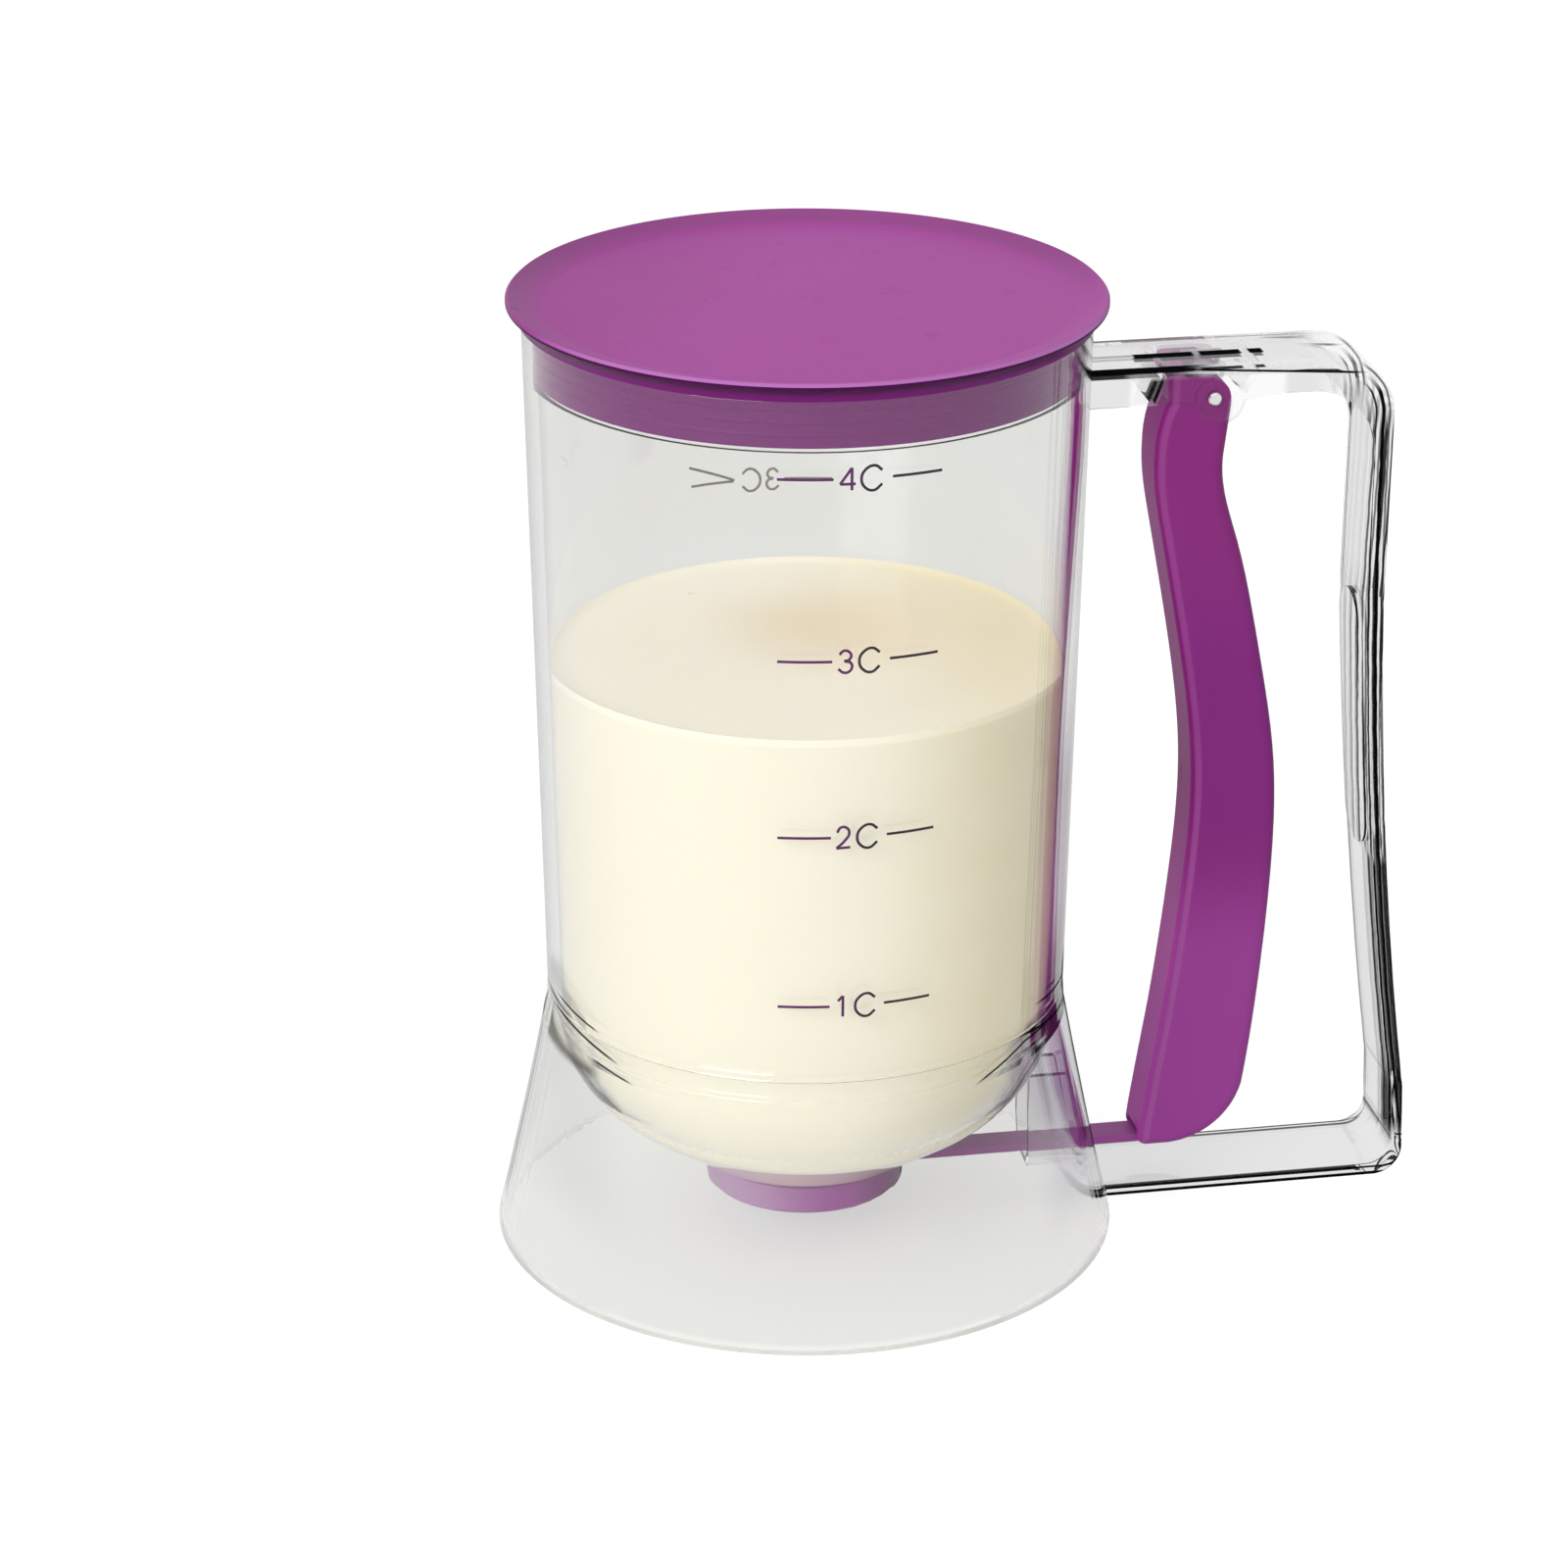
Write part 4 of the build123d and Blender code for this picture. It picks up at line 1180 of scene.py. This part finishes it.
@dataclass
class CupScale:
    """The printed cup scale: a dash, a number and a dash at each whole cup.

    The wall runs straight between seam and rim, each a (height, radius). A digit's or letter's box is its
    (width, height). Dashes, and the ends of the extra lines, lie at angles in degrees.
    """

    side: Side
    ink: PrintInk
    levels: tuple[float, ...] = (0.0640, 0.0964, 0.1292, 0.1621)
    seam: Point = (0.0490, 0.0476)
    rim: Point = (0.1760, 0.05025)
    digit: Point = (0.0027, 0.0040)
    letter: Point = (0.0038, 0.0044)
    gap: float = 0.00085
    pen: float = 0.00050
    left_dash: Span = (-16.3, -5.4)
    right_dash: Span = (6.2, 16.5)
    lift: float = 0.00004
    flat: float = 0.08
    extra: tuple[tuple[Point, Point], ...] = ()

    def radius(self, height: float) -> float:
        """Radius of the wall at a height."""
        share = (height - self.seam[0]) / (self.rim[0] - self.seam[0])
        return self.seam[1] + (self.rim[1] - self.seam[1]) * share

    def pen_line(self, curve: bpy.types.Curve, points: Sequence[Point]) -> None:
        """Adds one smooth stroke.

        Args:
            curve: the curve that gets it.
            points: what it runs through, each as metres along the unrolled wall, and height.
        """
        spline = curve.splines.new("BEZIER")
        spline.bezier_points.add(len(points) - 1)
        for knot, (along, up) in zip(spline.bezier_points, points):
            knot.co = (along, up, 0.0)
            knot.handle_left_type = knot.handle_right_type = "AUTO"

    def glyph(self, curve: bpy.types.Curve, mark: str, left: float, size: Point, middle: float) -> None:
        """Draws one character in its box.

        Args:
            curve: the curve that gets its strokes.
            mark: the character.
            left: the box's left side, as metres along the unrolled wall.
            size: the box's width and height.
            middle: height of the box's middle.
        """
        for stroke in GLYPHS[mark]:
            self.pen_line(curve, [(left + x * size[0], middle + (y - 0.5) * size[1]) for x, y in stroke])

    def draw(self) -> bpy.types.Curve:
        """Draws all strokes flat, as if the wall were unrolled.

        Returns:
            The curve, as thick as the pen.
        """
        curve = bpy.data.curves.new("scale_strokes", "CURVE")
        curve.dimensions = "3D"
        curve.resolution_u = 10
        curve.bevel_depth = self.pen / 2
        curve.bevel_resolution = 1
        curve.use_fill_caps = True
        width = self.digit[0] + self.gap + self.letter[0]
        for cups, height in enumerate(self.levels, start=1):
            radius = self.radius(height)
            self.glyph(curve, str(cups), -width / 2, self.digit, height)
            self.glyph(curve, "C", width / 2 - self.letter[0], self.letter, height)
            for ends in (self.left_dash, self.right_dash):
                self.pen_line(curve, [(math.radians(angle) * radius, height) for angle in ends])
        for ends in self.extra:
            radius = self.radius(ends[0][1])
            self.pen_line(curve, [(math.radians(angle) * radius, height) for angle, height in ends])
        return curve

    def wrap(self, mesh: bpy.types.Mesh) -> None:
        """Rolls flat strokes round the wall, pressed nearly flat and just proud of it.

        Args:
            mesh: the strokes' mesh, whose points are moved.
        """
        for vertex in mesh.vertices:
            radius = self.radius(vertex.co.y)
            angle = vertex.co.x / radius + math.radians(self.side.value)
            proud = radius + self.lift + self.flat * vertex.co.z
            vertex.co = (proud * math.sin(angle), -proud * math.cos(angle), vertex.co.y)

    def build(self) -> bpy.types.Object:
        """Makes the whole scale as one print on the cup's wall.

        Returns:
            The finished print, which rides on the cup.
        """
        strokes = bpy.data.objects.new("scale_strokes", self.draw())
        bpy.context.scene.collection.objects.link(strokes)
        pick(strokes)
        bpy.ops.object.convert(target="MESH")
        scale = bpy.context.active_object
        self.wrap(scale.data)
        settle(scale, f"cup_scale_{self.side.name.lower()}")
        dress(scale, self.ink.material())
        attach(scale, "cup")
        return scale


@dataclass
class BatterPool:
    """The batter in the funnel: it climbs a little at the wall and sags in the middle.

    Its outline goes by (radius, height) from the middle of its foot over the funnel's cone, round the bend
    into the upright wall, past the seam and over its top. The slope is the cone's, in degrees.
    """

    tip_radius: float = 0.0005
    tip_drop: float = 0.0001
    foot: Point = (0.0062, 0.01445)
    floor: Point = (0.0189, 0.0150)
    slope: float = 34.7
    bend_radius: float = 0.0234
    wall_radius: float = 0.0440
    seam: Point = (0.0447, 0.0490)
    top_radius: float = 0.04608
    level: float = BATTER_LEVEL
    climb: float = 0.0009
    cling: float = 0.00002
    climb_rings: tuple[Point, ...] = ((0.0005, 0.55), (0.0012, 0.22), (0.0022, 0.06), (0.0040, 0.0))
    sag: float = 0.0004
    sag_rings: tuple[float, ...] = (0.8, 0.65, 0.5, 0.36, 0.24, 0.12, 0.03)
    straight_steps: int = 8
    bend_steps: int = 16
    sides: int = 160

    def bend_centre(self) -> Point:
        """The centre of the bend, at the height at which it meets the upright wall.

        Returns:
            Its (radius, height).
        """
        low = self.floor[1] + (self.wall_radius - self.floor[0]) * math.tan(math.radians(self.slope))
        return (self.wall_radius - self.bend_radius,
                low + self.bend_radius * math.tan(math.radians(90.0 - self.slope) / 2))

    def bend(self) -> list[Point]:
        """The bend, from the cone to the upright wall.

        Returns:
            Its points, of which the first still lies on the cone.
        """
        centre, radius = self.bend_centre(), self.bend_radius
        sweep = math.radians(90.0 - self.slope)
        angles = [sweep * step / self.bend_steps - sweep for step in range(self.bend_steps + 1)]
        return [(centre[0] + radius * math.cos(angle), centre[1] + radius * math.sin(angle))
                for angle in angles]

    def profile(self) -> list[Point]:
        """The whole outline.

        Returns:
            Ring by ring, from the middle of the foot to the middle of the top.
        """
        bend = self.bend()
        rings = [(self.tip_radius, self.foot[1] - self.tip_drop), self.foot]
        rings += steps_to(self.floor, bend[0], self.straight_steps) + bend[1:]
        rings += [self.seam] + steps_to(self.seam, (self.top_radius, self.level), self.straight_steps)
        rings.append((self.top_radius + self.cling, self.level + self.climb))
        for inset, share in self.climb_rings:
            rings.append((self.top_radius - inset, self.level + self.climb * share))
        for share in self.sag_rings:
            rings.append((self.top_radius * share, self.level - self.sag * (1 - share) ** 2))
        return rings

    def build(self) -> bpy.types.Object:
        """Makes the batter and puts it in place of its plain solid.

        Returns:
            The finished pool, which rides on the cup.
        """
        pool = build_up("batter_pool", self.profile(), self.sides)
        dress(pool, WetBatter("batter_wet").material())
        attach(pool, "cup")
        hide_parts("batter_fill")
        return pool


@dataclass
class Mouldings:
    """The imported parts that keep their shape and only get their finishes."""

    nodes: dict[str, bpy.types.Object]
    # Painted dark arcs by the seam, standing in for refraction.
    wall_arcs: tuple[Arc, ...] = (
        Arc(-0.0469, 0.0516, -0.245, 0.00016, (-0.0475, -0.0465), (-0.0415, -0.0430)),
        Arc(0.0461, 0.0518, -0.146, 0.00022, (0.0360, 0.0390), (0.0470, 0.0462)))
    stand_arcs: tuple[Arc, ...] = (
        Arc(-0.0471, 0.0489, -0.35, 0.00020, (-0.0478, -0.0468), (-0.0385, -0.0410)),
        Arc(-0.0425, 0.0446, -0.21, 0.00012, (-0.0430, -0.0420), (-0.0365, -0.0385)),
        Arc(0.0449, 0.0465, -0.21, 0.00020, (0.0315, 0.0350), (0.0460, 0.0450)),
        Arc(0.0410, 0.0476, 0.02, 0.00014, (0.0330, 0.0345), (0.0415, 0.0405)),
        Arc(0.0340, 0.0474, 0.343, 0.00016, (0.0225, 0.0260), (0.0350, 0.0340)))
    along_pins: tuple[float, float, float] = (1.0, 0.05, 1.0)
    along_wire: tuple[float, float, float] = (0.2, 1.0, 1.0)

    def clear_parts(self) -> dict[str, bpy.types.Material]:
        """The finishes of the clear parts.

        Returns:
            Each material by its part's name.
        """
        cup = CupPlastic("clear_cup", (0.962, 0.962, 0.948), gloss=0.12, arcs=self.wall_arcs)
        stand = StandPlastic("clear_stand", (0.972, 0.975, 0.965), (0.62, 0.60, 0.65), edge_start=0.8,
                             arcs=self.stand_arcs)
        handle = HandlePlastic("clear_handle", (0.965, 0.965, 0.98), (0.82, 0.82, 0.87), edge_start=0.8)
        return {"container": cup.material(), "base_skirt": stand.material(),
                "handle_frame": handle.material()}

    def purple_parts(self) -> dict[str, bpy.types.Material]:
        """The finishes of the purple parts.

        Returns:
            Each material by its part's name.
        """
        lid = LidPlastic("lid_purple", (0.336, 0.037, 0.280), (0.356, 0.044, 0.306), gloss=0.12, passes=0.9)
        lever = LeverPlastic("lever_purple", (0.236, 0.026, 0.184), (0.246, 0.030, 0.210), ior=1.25)
        ring = RingPlastic("ring_purple", (0.30, 0.065, 0.29), (0.33, 0.090, 0.32))
        arm = MouldedPlastic("arm_purple", (0.26, 0.05, 0.24), (0.30, 0.07, 0.28))
        return {"lid": lid.material(), "trigger": lever.material(),
                "gate_slider": arm.material(), "valve_cap": ring.material()}

    def small_parts(self) -> dict[str, bpy.types.Material]:
        """The finishes of pins, spring and seal.

        Returns:
            Each material by its part's name.
        """
        pin = BrightSteel("pin_bright", (0.85, 0.85, 0.86), 0.12, self.along_pins)
        link = BrightSteel("link_bright", (0.8, 0.8, 0.8), 0.16, self.along_pins)
        wire = BrightSteel("spring_wire", (0.32, 0.32, 0.33), 0.3, self.along_wire)
        return {"pivot_pin": pin.material(), "link_pin": link.material(),
                "return_spring": wire.material(), "outlet_seal": Silicone("seal_milky").material()}

    def build(self) -> None:
        """Dresses every part that is shown."""
        for name, material in {**self.clear_parts(), **self.purple_parts(), **self.small_parts()}.items():
            dress(self.nodes[name], material)
            LOG.info("dressed %s", name)


@dataclass(frozen=True)
class Lamp:
    """A soft square lamp."""

    name: str
    place: tuple[float, float, float]
    size: float
    power: float

    def build(self, aim: Vector) -> None:
        """Hangs the lamp.

        Args:
            aim: the point that it shines at.
        """
        turn = (aim - Vector(self.place)).to_track_quat("-Z", "Y").to_euler()
        bpy.ops.object.light_add(type="AREA", location=self.place, rotation=turn)
        lamp = bpy.context.active_object
        lamp.name = self.name
        lamp.data.size = self.size
        lamp.data.energy = self.power


@dataclass
class Studio:
    """A pale floor, soft lamps and the camera, whose three angles are degrees."""

    azimuth: float = -10.3
    elevation: float = 22.586
    roll: float = 0.093
    distance: float = 0.90670
    target_height: float = 0.086343
    sideways: float = -0.003949
    lens: float = 114.34
    sensor: float = 36.0
    nearest: float = 0.05
    floor_size: float = 30.0
    floor_height: float = -0.0002
    floor_tones: tuple[Colour, Colour] = ((0.8, 0.8, 0.8), (0.84, 0.84, 0.84))
    floor_matt: Colour = (0.3, 0.3, 0.3)
    floor_glow: Colour = (0.80, 0.80, 0.80)
    floor_mirrored: Colour = (0.555, 0.555, 0.548)
    ambient: float = 0.6
    fill: Colour = (0.97, 0.98, 1.0)
    backdrop: Colour = (1.0, 1.0, 1.0)
    backdrop_mirrored: Colour = (0.85, 0.85, 0.845)
    aim: tuple[float, float, float] = (0.0, 0.0, 0.09)
    lamps: tuple[Lamp, ...] = (
        Lamp("key", (-0.9, -1.0, 0.75), 0.8, 12.0), Lamp("top", (0.1, 0.2, 1.5), 1.0, 5.0))

    def camera(self) -> None:
        """Sets the camera at the viewing angle, with nothing out of focus."""
        a, e, r = (math.radians(angle) for angle in (self.azimuth, self.elevation, self.roll))
        back = Vector((math.sin(a) * math.cos(e), -math.cos(a) * math.cos(e), math.sin(e)))
        right = Vector((math.cos(a), math.sin(a), 0.0))
        up = back.cross(right)
        rolled_right = right * math.cos(r) + up * math.sin(r)
        rolled_up = up * math.cos(r) - right * math.sin(r)
        place = Vector((0, 0, self.target_height)) + self.sideways * rolled_right + self.distance * back
        bpy.ops.object.camera_add(location=place)
        camera = bpy.context.active_object
        camera.rotation_euler = Matrix((rolled_right, rolled_up, back)).transposed().to_euler()
        camera.data.lens = self.lens
        camera.data.sensor_width = self.sensor
        camera.data.clip_start = self.nearest
        bpy.context.scene.camera = camera

    def floor(self) -> None:
        """A wide pale floor that keeps soft shadows and reads white to the camera."""
        bpy.ops.mesh.primitive_plane_add(size=self.floor_size, location=(0, 0, self.floor_height))
        floor = settle(bpy.context.active_object, "floor")
        graph = Graph("pale_floor")
        tone = graph.mix(graph.noise(3.0, 2.0), *self.floor_tones)
        plain = graph.node("ShaderNodeBsdfDiffuse", None, {"Color": tone})
        matt = graph.shader("ShaderNodeBsdfDiffuse", self.floor_matt)
        level = graph.mix(graph.rays("Is Camera Ray"), self.floor_mirrored, self.floor_glow)
        glow = graph.node("ShaderNodeEmission", None, {"Color": level, "Strength": 1.0})
        shown = graph.node("ShaderNodeAddShader", None, {0: matt.outputs[0], 1: glow.outputs[0]})
        seen = graph.rays("Is Camera Ray", "Is Glossy Ray", "Is Transmission Ray")
        dress(floor, graph.finish(graph.blend(seen, plain, shown)))

    def world(self) -> None:
        """White behind the object, and a plain grey fill for its light."""
        world = bpy.data.worlds.new("studio_world")
        world.use_nodes = True
        bpy.context.scene.world = world
        graph = Graph.over(world.node_tree)
        backdrop = graph.mix(graph.rays("Is Camera Ray"), self.backdrop_mirrored, self.backdrop)
        fill = graph.shader("ShaderNodeBackground", self.fill, {"Strength": self.ambient})
        white = graph.node("ShaderNodeBackground", None, {"Color": backdrop, "Strength": 1.0})
        seen = graph.rays("Is Camera Ray", "Is Glossy Ray", "Is Transmission Ray")
        mixed = graph.blend(seen, fill, white)
        graph.node("ShaderNodeOutputWorld", None, {"Surface": mixed.outputs[0]})

    def build(self) -> None:
        """Sets up camera, floor, world and lamps."""
        self.camera()
        self.floor()
        self.world()
        for lamp in self.lamps:
            lamp.build(Vector(self.aim))
        bpy.context.scene.view_settings.view_transform = "Standard"


def main() -> None:
    """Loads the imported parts, dresses them, adds the batter and the scale, and sets up the studio."""
    logging.basicConfig(level=logging.INFO)
    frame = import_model()
    Mouldings(frame["nodes"]).build()
    purple = PrintInk("scale_print", (0.085, 0.006, 0.085), (0.012, 0.004, 0.011), (0.11, 0.03, 0.11))
    grey = PrintInk("scale_print_back", (0.12, 0.12, 0.115), (0.15, 0.15, 0.145), (0.22, 0.21, 0.22))
    second_line = (((6.0, 0.1290), (17.0, 0.1326)),)
    pieces = [
        BatterPool().build(),
        CupScale(Side.FRONT, purple).build(),
        CupScale(Side.BACK, grey, levels=(0.0636, 0.0960, 0.1288, 0.1617), extra=second_line).build(),
    ]
    for piece in pieces:
        LOG.info("built %s", piece.name)
    Studio().build()
    LOG.info("set up the studio")


if __name__ == "__main__":
    main()
